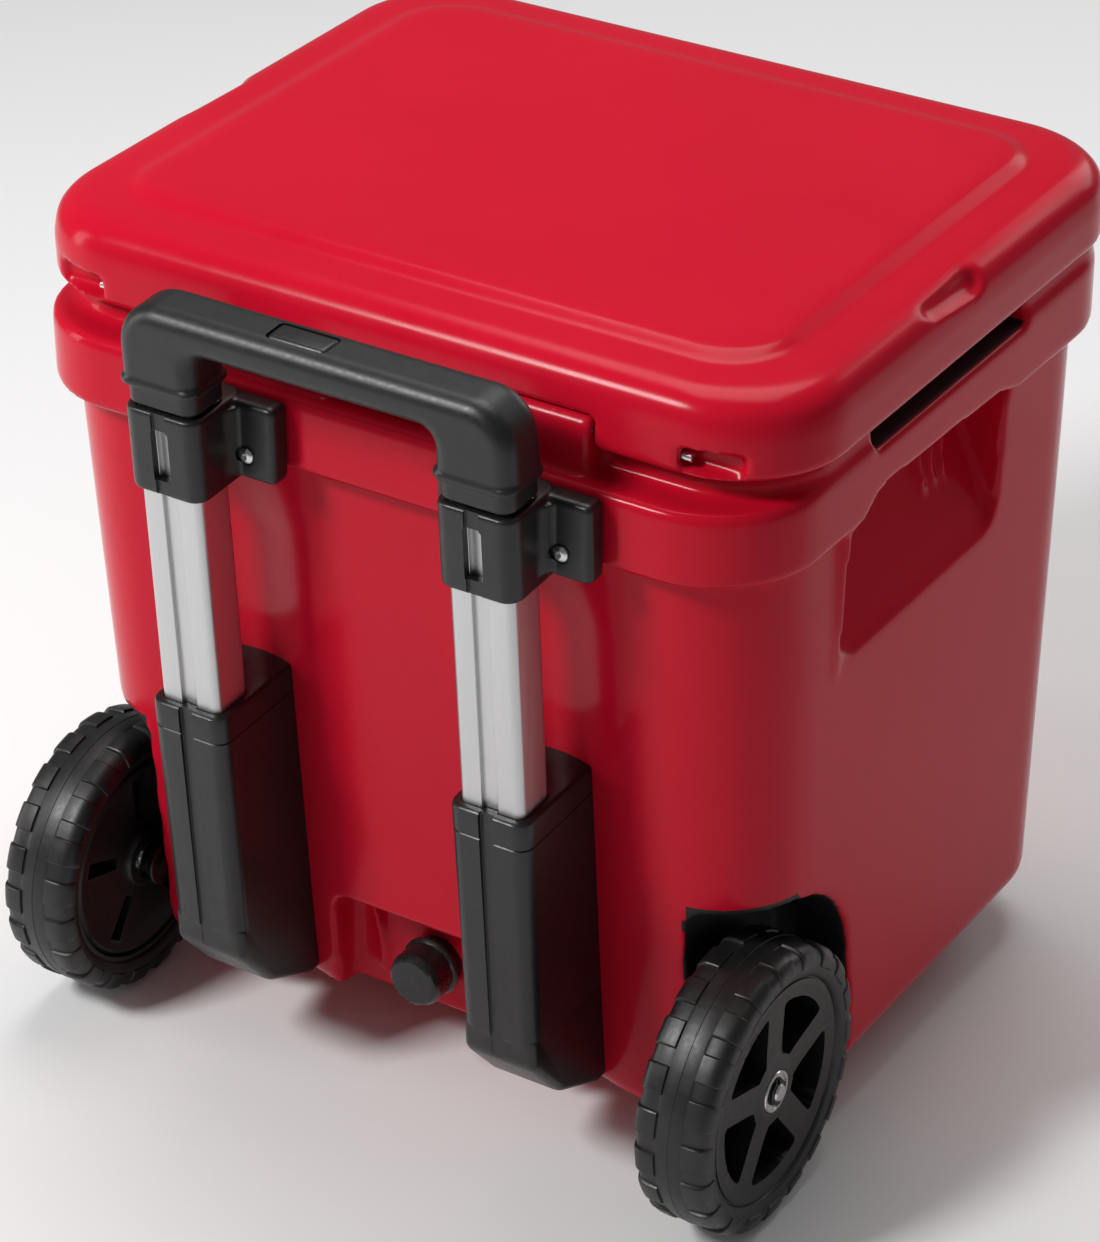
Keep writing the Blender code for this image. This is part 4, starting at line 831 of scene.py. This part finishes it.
def hub(label):
    """A wheel disc with five spokes in front of a closed web."""
    centre = (0, WHEEL_Y, WHEEL_RADIUS)
    web = WHEEL_INNER + 0.0065
    piece = turned("wheel_disc_" + label, [
        (0.0133, WHEEL_INNER + 0.002), (0.018, WHEEL_INNER + 0.002), (0.019, WHEEL_INNER + 0.003), (0.0195, web),
        (0.06, web), (0.0612, WHEEL_INNER + 0.0055), (0.0635, WHEEL_INNER + 0.0055), (0.0645, web + 0.0005),
        (0.0655, web + 0.0015), (0.0655, WHEEL_OUTER - 0.0066),
        (0.068, WHEEL_OUTER - 0.0052), (0.068, WHEEL_OUTER - 0.004), (0.0665, WHEEL_OUTER - 0.0034),
        (0.064, WHEEL_OUTER - 0.004), (0.056, WHEEL_OUTER - 0.005),
        (0.03, WHEEL_OUTER - 0.006), (0.0215, WHEEL_OUTER - 0.0058), (0.018, WHEEL_OUTER - 0.0046),
        (0.015, WHEEL_OUTER - 0.0042), (0.0133, WHEEL_OUTER - 0.0046),
    ], "x", centre, 120)
    pitch = 360 / SPOKES
    for spoke in range(SPOKES):
        middle = math.radians(90 + pitch * (spoke + 0.5))
        cut(piece, window_cutter(middle, 0.0575, 0.0225, 0.0088, web + 0.003))
        cut(piece, spoke_slot(90 + pitch * spoke))
    return soften(piece, 0.0008, 3, 40)


def wheel(label):
    """Tyre, disc, bearing, axle and snap ring of one wheel."""
    centre = (0, WHEEL_Y, WHEEL_RADIUS)
    bearing = turned("ball_bearing_" + label, [
        (0.0061, WHEEL_INNER + 0.004), (0.013, WHEEL_INNER + 0.004), (0.013, WHEEL_OUTER - 0.0044),
        (0.0126, WHEEL_OUTER - 0.0038), (0.0112, WHEEL_OUTER - 0.0038), (0.0108, WHEEL_OUTER - 0.005),
        (0.0086, WHEEL_OUTER - 0.005), (0.0083, WHEEL_OUTER - 0.0038), (0.0066, WHEEL_OUTER - 0.0036),
        (0.0061, WHEEL_OUTER - 0.004),
    ], "x", centre)
    axle = turned("axle_" + label, [
        (0.0, 0.188), (0.0074, 0.188), (0.0074, 0.1903), (0.0132, 0.1903), (0.014, 0.1911),
        (0.014, 0.194), (0.0132, 0.195), (0.01, 0.1965), (0.0095, 0.1975), (0.0095, 0.2022),
        (0.0059, 0.2038), (0.0059, 0.2474), (0.0048, 0.2474), (0.0048, 0.2484), (0.0055, 0.2484),
        (0.0055, 0.249), (0.0047, 0.25), (0.0, 0.2501),
    ], "x", centre)
    clip = turned("snap_ring_" + label, [
        (0.005, 0.2475), (0.0076, 0.2475), (0.0078, 0.2477),
        (0.0078, 0.2481), (0.0076, 0.2483), (0.005, 0.2483),
    ], "x", centre)
    cut(clip, box("split", (0.24, 0.26), span(WHEEL_Y, 0.0012),
                  (WHEEL_RADIUS + 0.003, WHEEL_RADIUS + 0.02)))
    return tyre(label), hub(label), shade(bearing, 30), shade(axle, 30), shade(clip, 30)


def bearing_gap_shade(point):
    """The bearing's inner ring and its inner face, given dark steel as painted shade in the gap round the axle.
    """
    return (math.hypot(point.y - WHEEL_Y, point.z - WHEEL_RADIUS) < 0.0086
            or abs(point.x) < WHEEL_INNER + 0.003)


def dark_axle(point):
    """The axle's flange and the groove of its snap ring."""
    return abs(point.x) < 0.201 or 0.247 < abs(point.x) < 0.2486


def install_wheel(parts, label):
    """The tyre, disc and bearing turn; the axle and its snap ring stay on the chest."""
    tread, disc, bearing, axle, clip = parts
    install(tread, TYRE, "tyre_rubber", "wheel_" + label, "tyre_" + label)
    install(disc, HUB, "black_plastic", "wheel_" + label, "hub_" + label)
    # The bearing's inner ring and inner face take dark steel as painted shade.
    install(bearing, STEEL, "steel", "wheel_" + label, "bearing_" + label,
            second=OXIDE_AND_SHADE_STEEL, zone=bearing_gap_shade)
    install(axle, STEEL, "steel", "chest", "stub_axle_" + label, second=OXIDE_AND_SHADE_STEEL, zone=dark_axle)
    install(clip, OXIDE_AND_SHADE_STEEL, "steel", "chest", "axle_clip_" + label)


right_wheel = wheel("right")
left_wheel = [mirrored(piece, piece.name.replace("right", "left")) for piece in right_wheel]
install_wheel(right_wheel, "right")
install_wheel(left_wheel, "left")


# ---- handle

def tube_outline(centre, inset):
    """A tube's outline with the channel down its front; a negative inset grows it."""
    half = TUBE_HALF_WIDTH - inset
    front = inset
    back = TUBE_DEPTH - inset
    radius = TUBE_RADIUS - min(inset, TUBE_RADIUS - 0.0008)
    channel = CHANNEL_HALF_WIDTH + inset
    floor = front + CHANNEL_DEPTH
    lip = 0.0007
    outline = []
    outline += arc(half - radius, back - radius, radius, 0, 90, 12)
    outline += arc(-half + radius, back - radius, radius, 90, 180, 12)
    outline += arc(-half + radius, front + radius, radius, 180, 270, 12)
    outline += arc(-channel - lip, front + lip, lip, 270, 360, 4)
    outline += [(-channel, floor), (channel, floor)]
    outline += arc(channel + lip, front + lip, lip, 180, 270, 4)
    outline += arc(half - radius, front + radius, radius, 270, 360, 12)
    return [(x + centre, y) for x, y in outline]


def tube(name, centre, inset, wall, bottom, top):
    """An extruded tube with its ends open and a small edge break."""
    layers = (
        (tube_outline(centre, inset), bottom),
        (tube_outline(centre, inset), top - 0.0003),
        (tube_outline(centre, inset + 0.0003), top),
        (tube_outline(centre, inset + wall), top),
        (tube_outline(centre, inset + wall), bottom),
    )
    vertices = []
    for outline, height in layers:
        vertices += [(x, y, height) for x, y in outline]
    faces = band_faces(len(layers[0][0]), len(layers), True)
    return shade(mesh_object(name, vertices, faces), 25)


def tube_cutter(centre, grow, bottom, top):
    """The room that a tube needs inside a bracket or the grip."""
    return prism("bore", tube_outline(centre, -grow), "z", bottom, top)


def channel_strip(centre, grow, bottom, top, depth):
    """The groove that runs down the front of a bracket, in line with the tube's channel."""
    front = -grow
    width = CHANNEL_HALF_WIDTH - 0.0004
    return box("groove", span(centre, width), (front - 0.02, front + depth), (bottom, top), 0.0006)


COLLAR_BOTTOM, COLLAR_TOP = 0.016, 0.0685
EAR_FRONT = -0.2362
EAR_SHORT, EAR_LONG = 0.0465, 0.0525
EAR_BOTTOM, EAR_TOP = 0.4205, 0.469
SLEEVE_WALL = 0.0048
SCREW_OFFSET = 0.0339
SCREW_HEIGHT = 0.4365


def build_collar(label, centre):
    """Upper bracket: a sleeve around the tube, flowing into an ear each side."""
    ears = box("bracket_" + label, (centre - EAR_SHORT, centre + EAR_LONG),
               (EAR_FRONT, -RIM_HALF_DEPTH - 0.0003), (EAR_BOTTOM, EAR_TOP), 0.0042, 5)
    rings = []
    for height, grow in ((COLLAR_BOTTOM, 0.0034), (COLLAR_BOTTOM + 0.0005, 0.0042),
                         (COLLAR_BOTTOM + 0.0016, SLEEVE_WALL), (COLLAR_TOP - 0.0022, SLEEVE_WALL),
                         (COLLAR_TOP - 0.0008, 0.0042), (COLLAR_TOP, 0.0028)):
        outline = rounded_outline(TUBE_HALF_WIDTH + grow, -grow, TUBE_DEPTH + 0.014, TUBE_RADIUS + grow, 12)
        rings.append([(x + centre, y, height) for x, y in outline])
    sleeve = to_world(ring_solid("sleeve", rings))
    cut(sleeve, box("behind", span(centre, 0.1), (-RIM_HALF_DEPTH - 0.0003, -0.1), (0.3, 0.6)))
    add(ears, sleeve)
    for side in (-1, 1):
        web = [(centre + side * across, y) for across, y in (
            (0.024, -0.252), (0.0262, -0.244), (0.03, EAR_FRONT + 0.0006),
            (0.03, EAR_FRONT + 0.006), (0.02, EAR_FRONT + 0.006), (0.02, -0.252))]
        add(ears, prism("web", web, "z", 0.424, 0.4655))
    melted = melt(ears, 0.00095, 4)
    cut(melted, to_world(tube_cutter(centre, 0.0003, COLLAR_BOTTOM - 0.02, COLLAR_TOP + 0.02)))
    window = box("window", (centre - 0.0056, centre + 0.0062), (-0.02, 0.01),
                 (COLLAR_BOTTOM + 0.009, COLLAR_TOP - 0.011), 0.0012)
    cut(melted, to_world(window))
    for bottom, top in ((COLLAR_BOTTOM - 0.01, COLLAR_BOTTOM + 0.012), (COLLAR_TOP - 0.013, COLLAR_TOP + 0.01)):
        cut(melted, to_world(channel_strip(centre, SLEEVE_WALL, bottom, top, 0.0016)))
    for offset in (-SCREW_OFFSET, SCREW_OFFSET):
        middle = (centre + offset, 0, SCREW_HEIGHT)
        cut(melted, rod("hole", 0.0027, EAR_FRONT - 0.01, -0.2, "y", middle))
        cut(melted, rod("seat", 0.0062, EAR_FRONT - 0.01, EAR_FRONT + 0.0007, "y", middle))
    return shade(melted, 35)


def build_screw(name, x, z, seat, length):
    """A button-head screw with a hexagon socket."""
    screw = turned(name, [
        (0.0, seat - 0.0028), (0.0022, seat - 0.0027), (0.0036, seat - 0.0022), (0.0047, seat - 0.0013),
        (0.0052, seat + 0.0002), (0.0023, seat + 0.0004), (0.0023, seat + length), (0.0, seat + length),
    ], "y", (x, 0, z), 48)
    cut(screw, rod("socket", 0.0018, seat - 0.01, seat - 0.001, "y", (x, 0, z), 6))
    return shade(screw, 30)


BOOT_BOTTOM, BOOT_TOP = -0.3, -0.128
BOOT_SPREAD = 0.0048
# The foot that reaches under the chest's corner: (y, z).
BOOT_FOOT = ((-0.253, 0.12), (-0.2524, 0.0985), (-0.224, 0.0655),
             (-0.184, 0.047), (-0.15, 0.047), (-0.15, 0.12))


def build_boot(label, centre):
    """Lower socket: deep enough to reach the chest's wall, chamfered at its foot."""
    rings = []
    levels = (
        (BOOT_BOTTOM, -0.003, 0.008), (BOOT_BOTTOM + 0.002, -0.0004, 0.0058),
        (BOOT_BOTTOM + 0.012, 0.004, 0.001), (BOOT_BOTTOM + 0.016, 0.0044, 0.0),
        (BOOT_TOP - 0.0185, 0.0054, 0.0), (BOOT_TOP - 0.018, BOOT_SPREAD, 0.0),
        (BOOT_TOP - 0.0174, BOOT_SPREAD, 0.0), (BOOT_TOP - 0.0169, 0.0055, 0.0),
        (BOOT_TOP - 0.003, 0.0055, 0.0), (BOOT_TOP - 0.0012, 0.0051, 0.0),
        (BOOT_TOP - 0.0003, 0.0042, 0.0), (BOOT_TOP, 0.003, 0.0),
    )
    for height, grow, cutback in levels:
        outline = rounded_outline(TUBE_HALF_WIDTH + grow, -grow + cutback, 0.11, 0.0095, 14)
        rings.append([(x + centre, y, height) for x, y in outline])
    block = to_world(ring_solid("leg_socket_" + label, rings))
    half = TUBE_HALF_WIDTH + BOOT_SPREAD - 0.0006
    add(block, soften(prism("foot", BOOT_FOOT, "x", centre - half, centre + half), 0.005, 4, 20))
    wall = loft("envelope", [
        (z, WALL_HALF_WIDTH, rear, front, radius, SCALLOP_DEPTH) for z, rear, front, radius in (
            (CHEST_BOTTOM - 0.01, WALL_REAR_BOTTOM - 0.0002, WALL_FRONT_BOTTOM, CORNER_RADIUS - 0.006),
            (CHEST_BOTTOM + 0.007, WALL_REAR_BOTTOM - 0.0002, WALL_FRONT_BOTTOM, CORNER_RADIUS - 0.006),
            (RIM_BOTTOM - 0.055, -0.2047, 0.2065, CORNER_RADIUS),
            (RIM_BOTTOM, -0.207, 0.2065, CORNER_RADIUS))
    ], wall_outline)
    cut(block, wall)
    cut(block, to_world(tube_cutter(centre, 0.0006, -0.286, BOOT_TOP + 0.02)))
    cut(block, to_world(channel_strip(centre, BOOT_SPREAD, BOOT_BOTTOM - 0.01, BOOT_TOP + 0.01, 0.0018)))
    return shade(block, 32)


# Stage, inset, wall, bottom and top on the handle's axes, and the body it rides.
TUBES = (
    ("outer", 0.0, 0.0015, -0.285, 0.066, "chest"),
    ("middle", 0.0019, 0.0013, -0.279, 0.0695, "middle_stage"),
    ("inner", 0.0036, 0.0013, -0.273, 0.0962, "handle"),
)
for side, label in SIDES:
    centre = side * TUBE_X
    for stage, inset, wall, bottom, top, body in TUBES:
        piece = to_world(tube(stage + "_extrusion_" + label, centre, inset, wall, bottom, top))
        install(piece, ANODISED, "aluminium", body, stage + "_tube_" + label)
    install(build_collar(label, centre), BLACK, "black_plastic", "chest", "collar_" + label)
    for offset, place in ((-SCREW_OFFSET, "a"), (SCREW_OFFSET, "b")):
        screw = build_screw("button_head_%s_%s" % (label, place), centre + offset, SCREW_HEIGHT,
                            EAR_FRONT + 0.0004, 0.028)
        install(screw, STEEL, "steel", "chest", "collar_screw_%s_%s" % (label, place))
    install(build_boot(label, centre), BLACK, "black_plastic", "chest", "boot_" + label)


GRIP_BOTTOM, FERRULE_BOTTOM, FERRULE_TOP, GRIP_TOP = 0.0702, 0.084, 0.088, 0.1335
GRIP_HALF_WIDTH, GRIP_LEG_INNER, GRIP_BAR_HEIGHT = 0.129, 0.0785, 0.024
GRIP_FRONT, GRIP_BACK = -0.0045, 0.032
GRIP_EDGE = 0.0104
BUTTON_X, BUTTON_DEPTH = -0.012, 0.0135
BUTTON_HALF_WIDTH, BUTTON_HALF_DEPTH = 0.02, 0.009


def grip_outline(inset):
    """The grip seen square to the handle: a bar with rounded shoulders and two legs, as (x, z)."""
    outer = GRIP_HALF_WIDTH - inset
    inner = GRIP_LEG_INNER + inset
    top = GRIP_TOP - inset
    under = GRIP_TOP - GRIP_BAR_HEIGHT + inset
    big = 0.027 - inset
    small = 0.009 + inset
    points = [(inner, FERRULE_BOTTOM), (outer, FERRULE_BOTTOM)]
    points += arc(outer - big, top - big, big, 0, 90, 20)
    points += arc(-outer + big, top - big, big, 90, 180, 20)
    points += [(-outer, FERRULE_BOTTOM), (-inner, FERRULE_BOTTOM)]
    points += arc(-inner + small, under - small, small, 180, 90, 12)
    points += arc(inner - small, under - small, small, 90, 0, 12)
    return points


def build_grip():
    """The grip: a rounded casing with a neck and a ferrule on each leg, hollow for tubes and release bar."""
    steps = 9
    levels = []
    for i in range(steps + 1):
        turn = math.pi / 2 * i / steps
        levels.append((GRIP_EDGE * (1 - math.sin(turn)), GRIP_FRONT + GRIP_EDGE * (1 - math.cos(turn))))
    for i in range(steps, -1, -1):
        turn = math.pi / 2 * i / steps
        levels.append((GRIP_EDGE * (1 - math.sin(turn)), GRIP_BACK - GRIP_EDGE * (1 - math.cos(turn))))
    rings = [[(x, depth, z) for x, z in grip_outline(inset)] for inset, depth in levels]
    casing = ring_solid("handle_casing", rings)
    for side in (-1, 1):
        centre = side * TUBE_X
        for name, band in (
            ("neck", ((GRIP_BOTTOM, 0.0016), (GRIP_BOTTOM + 0.0008, 0.0026), (FERRULE_BOTTOM + 0.006, 0.0026))),
            ("ferrule", ((FERRULE_BOTTOM - 0.0012, 0.0046), (FERRULE_BOTTOM - 0.0004, 0.0056),
                         (FERRULE_TOP - 0.0012, 0.0056), (FERRULE_TOP - 0.0004, 0.0046))),
        ):
            rings = []
            for height, grow in band:
                outline = rounded_outline(TUBE_HALF_WIDTH + grow, -grow, TUBE_DEPTH + grow * 0.55, 0.0085, 12)
                rings.append([(x + centre, y, height) for x, y in outline])
            add(casing, ring_solid(name, rings))
    melted = melt(casing, 0.00105, 3)
    for side in (-1, 1):
        cut(melted, tube_cutter(side * TUBE_X, -0.0033, GRIP_BOTTOM - 0.01, GRIP_TOP - 0.012))
    cut(melted, box("bar_room", (-0.112, 0.112), (0.006, 0.024), (GRIP_TOP - 0.021, GRIP_TOP - 0.0045), 0.0015))
    opening = box("opening", span(BUTTON_X, BUTTON_HALF_WIDTH),
                  span(BUTTON_DEPTH, BUTTON_HALF_DEPTH),
                  (GRIP_TOP - 0.017, GRIP_TOP + 0.01), 0.0036, 6)
    cut(melted, opening)
    return shade(to_world(melted), 35)


install(build_grip(), BLACK_GRIP, "black_plastic", "handle", "grip")
button = box("thumb_button", (BUTTON_X - BUTTON_HALF_WIDTH + 0.0006, BUTTON_X + BUTTON_HALF_WIDTH - 0.0006),
             (BUTTON_DEPTH - BUTTON_HALF_DEPTH + 0.0006, BUTTON_DEPTH + BUTTON_HALF_DEPTH - 0.0006),
             (GRIP_TOP - 0.0127, GRIP_TOP + 0.0004), 0.0032, 6)
install(shade(to_world(button), 60), BLACK, "black_plastic", "release", "release_button")


# ---- drain

KNOB_RADIUS = 0.0178


def build_cap():
    """The drain cap: a flange and an eight-sided knob with blunt corners."""
    end = RECESS_BACK - 0.03
    centre = (0, 0, DRAIN_Z)
    flange = turned("drain_cap", [
        (0.0078, RECESS_BACK - 0.0066), (0.0176, RECESS_BACK - 0.0066), (0.019, RECESS_BACK - 0.0074),
        (0.0195, RECESS_BACK - 0.0086), (0.0195, RECESS_BACK - 0.01), (0.0188, RECESS_BACK - 0.0112),
        (0.0172, RECESS_BACK - 0.0122), (0.0145, RECESS_BACK - 0.0135), (0.014, RECESS_BACK - 0.02),
        (0.0, RECESS_BACK - 0.02), (0.0, RECESS_BACK - 0.0175), (0.0078, RECESS_BACK - 0.0175),
    ], "y", centre, 72)
    rings = []
    for y, radius in ((RECESS_BACK - 0.011, 0.0165), (RECESS_BACK - 0.012, KNOB_RADIUS),
                      (end + 0.004, KNOB_RADIUS), (end + 0.001, 0.0162), (end, 0.0145)):
        ring = []
        for corner in range(8):
            for shift in (-0.16, 0.16):
                angle = 2 * math.pi * corner / 8 + shift
                ring.append((radius * math.cos(angle), y, DRAIN_Z + radius * math.sin(angle)))
        rings.append(ring)
    add(flange, ring_solid("knob", rings))
    cut(flange, rod("bore", 0.0078, RECESS_BACK - 0.0175, RECESS_BACK, "y", centre))
    return soften(flange, 0.0007, 3, 20)


install(build_cap(), GLOSS_BLACK, "black_plastic", "drain_cap", "drain_plug")


# ---- latches

STRAP_HALF_WIDTH = 0.0142


def build_latch(label, centre):
    """A rubber strap with a rounded pull and finger ribs."""
    y_front = RIM_HALF_DEPTH + 0.013
    profile = arc(LATCH_PIN_Y, LATCH_PIN_Z, 0.0072, 90, 250, 16)
    profile += [(0.214, 0.4955), (RIM_HALF_DEPTH + 0.0045, 0.486), (RIM_HALF_DEPTH + 0.0045, 0.442)]
    profile += [(y_front - 0.001, 0.442), (y_front, 0.47), (y_front - 0.002, 0.495), (0.2165, 0.511)]
    strap = prism("latch_strap_" + label, profile, "x", centre - STRAP_HALF_WIDTH, centre + STRAP_HALF_WIDTH)
    add(strap, box("pull", span(centre, 0.024), (RIM_HALF_DEPTH + 0.0052, y_front + 0.004),
                   (0.436, 0.452), 0.003))
    for row in range(4):
        z = 0.464 + row * 0.006
        add(strap, box("rib", span(centre, 0.0095), (y_front - 0.003, y_front + 0.0012),
                       (z, z + 0.0026), 0.0006))
    melted = melt(strap, 0.0009, 2)
    cut(melted, rod("bore", 0.0023, centre - 0.03, centre + 0.03, "x", (0, LATCH_PIN_Y, LATCH_PIN_Z)))
    return shade(melted, 35)


def build_keeper(label, centre):
    """The catch plate on the rim, with a cheek on each side of the strap."""
    y0 = RIM_HALF_DEPTH + 0.0003
    keeper = box("catch_" + label, span(centre, 0.026), (y0, y0 + 0.003), (0.43, 0.464), 0.001)
    for side in (-1, 1):
        cheek = tuple(centre + edge for edge in pair(side, 0.0165, 0.0235))
        add(keeper, box("cheek", cheek, (y0 + 0.001, y0 + 0.01), (0.456, 0.4625), 0.001))
    return shade(keeper, 50)


for side, label in SIDES:
    centre = side * LATCH_X
    install(build_latch(label, centre), RUBBER, "rubber", "latch_" + label, "latch_" + label)
    install(build_keeper(label, centre), BLACK, "black_plastic", "chest", "latch_keeper_" + label)
    foot = box("rubber_foot_" + label, pair(side, 0.15, 0.2), (0.105, 0.165),
               (0.0, CHEST_BOTTOM - 0.0003), 0.006, 5)
    for row in range(4):
        y = 0.114 + row * 0.0125
        cut(foot, box("groove", pair(side, 0.14, 0.21), (y, y + 0.003), (-0.01, 0.0016)))
    install(shade(foot, 40), RUBBER, "rubber", "chest", "foot_" + label)


# ---- CAD nodes that keep their shape

KEPT = {
    "body_foam_plug": RED_BODY, "lid_foam_plug": RED_LID, "lock_pin_left": STEEL, "lock_pin_right": STEEL,
    "latch_pin_left": STEEL, "latch_pin_right": STEEL, "release_bar": BLACK, "button_spring": STEEL,
    "release_rod_left": STEEL, "release_rod_right": STEEL, "boot_bolt_left": STEEL, "boot_bolt_right": STEEL,
    "drain_fitting": BLACK, "drain_gasket": SEAL,
}
for name, material in KEPT.items():
    for material_slot in nodes[name].material_slots:
        material_slot.material = material


# ---- floor, light and camera

def area_light(name, location, target, size, energy):
    """A white rectangular lamp aimed at a spot."""
    light = bpy.data.lights.new(name, 'AREA')
    light.shape = 'RECTANGLE'
    light.size, light.size_y = size
    light.energy = energy
    lamp = place_object(name, light)
    lamp.location = location
    lamp.rotation_euler = (Vector(target) - Vector(location)).to_track_quat('-Z', 'Y').to_euler()
    return lamp


FLOOR_REACH, FLOOR_Z = 9, -0.0003
floor = mesh_object("floor", [(x * FLOOR_REACH, y * FLOOR_REACH, FLOOR_Z)
                              for x, y in ((-1, -1), (1, -1), (1, 1), (-1, 1))], [(0, 1, 2, 3)])
floor_material, floor_tree, floor_shader = new_material("pale_floor")
put(floor_shader, {"Base Color": grey(0.86), "Roughness": 0.9, "Specular IOR Level": 0.1})
floor.data.materials.append(floor_material)

world = bpy.data.worlds.new("studio")
bpy.context.scene.world = world
world.use_nodes = True
put(world.node_tree.nodes["Background"], {"Color": grey(1.0), "Strength": 0.16})

area_light("key", (-1.1, -1.9, 2.3), (0, 0, 0.35), (0.6, 0.6), 60)
area_light("top", (-0.3, 0.7, 2.7), (0, 0, 0.4), (1.6, 1.6), 34)
area_light("left_strip", (-2.4, -1.2, 0.9), (0, -0.1, 0.35), (0.5, 1.6), 14)
area_light("front_fill", (0.6, 2.6, 1.6), (0, 0, 0.3), (1.6, 1.2), 14)

CAMERA_AZIMUTH = math.radians(33.71)
CAMERA_ELEVATION = math.radians(30.87)
CAMERA_ROLL = math.radians(-0.94)
CAMERA_PLACE = Vector((1.1811, -1.8713 + OFFSET_Y, 1.5563))
SENSOR = 36.0
FOCAL_PER_WIDTH = 3.8227

back = Vector((math.sin(CAMERA_AZIMUTH) * math.cos(CAMERA_ELEVATION),
               -math.cos(CAMERA_AZIMUTH) * math.cos(CAMERA_ELEVATION), math.sin(CAMERA_ELEVATION)))
right = Vector((0, 0, 1)).cross(back).normalized()
up = back.cross(right)
rolled_right = math.cos(CAMERA_ROLL) * right + math.sin(CAMERA_ROLL) * up
rolled_up = -math.sin(CAMERA_ROLL) * right + math.cos(CAMERA_ROLL) * up
camera_data = bpy.data.cameras.new("camera")
camera_data.sensor_fit = 'HORIZONTAL'
camera_data.sensor_width = SENSOR
camera_data.lens = SENSOR * FOCAL_PER_WIDTH
camera_data.shift_x = 0.0562
camera_data.shift_y = -0.0023
camera_data.clip_end = 50
camera = place_object("camera", camera_data)
turn = Matrix((rolled_right, rolled_up, back)).transposed().to_4x4()
camera.matrix_world = Matrix.Translation(CAMERA_PLACE) @ turn
bpy.context.scene.camera = camera
bpy.context.scene.view_settings.view_transform = 'Standard'
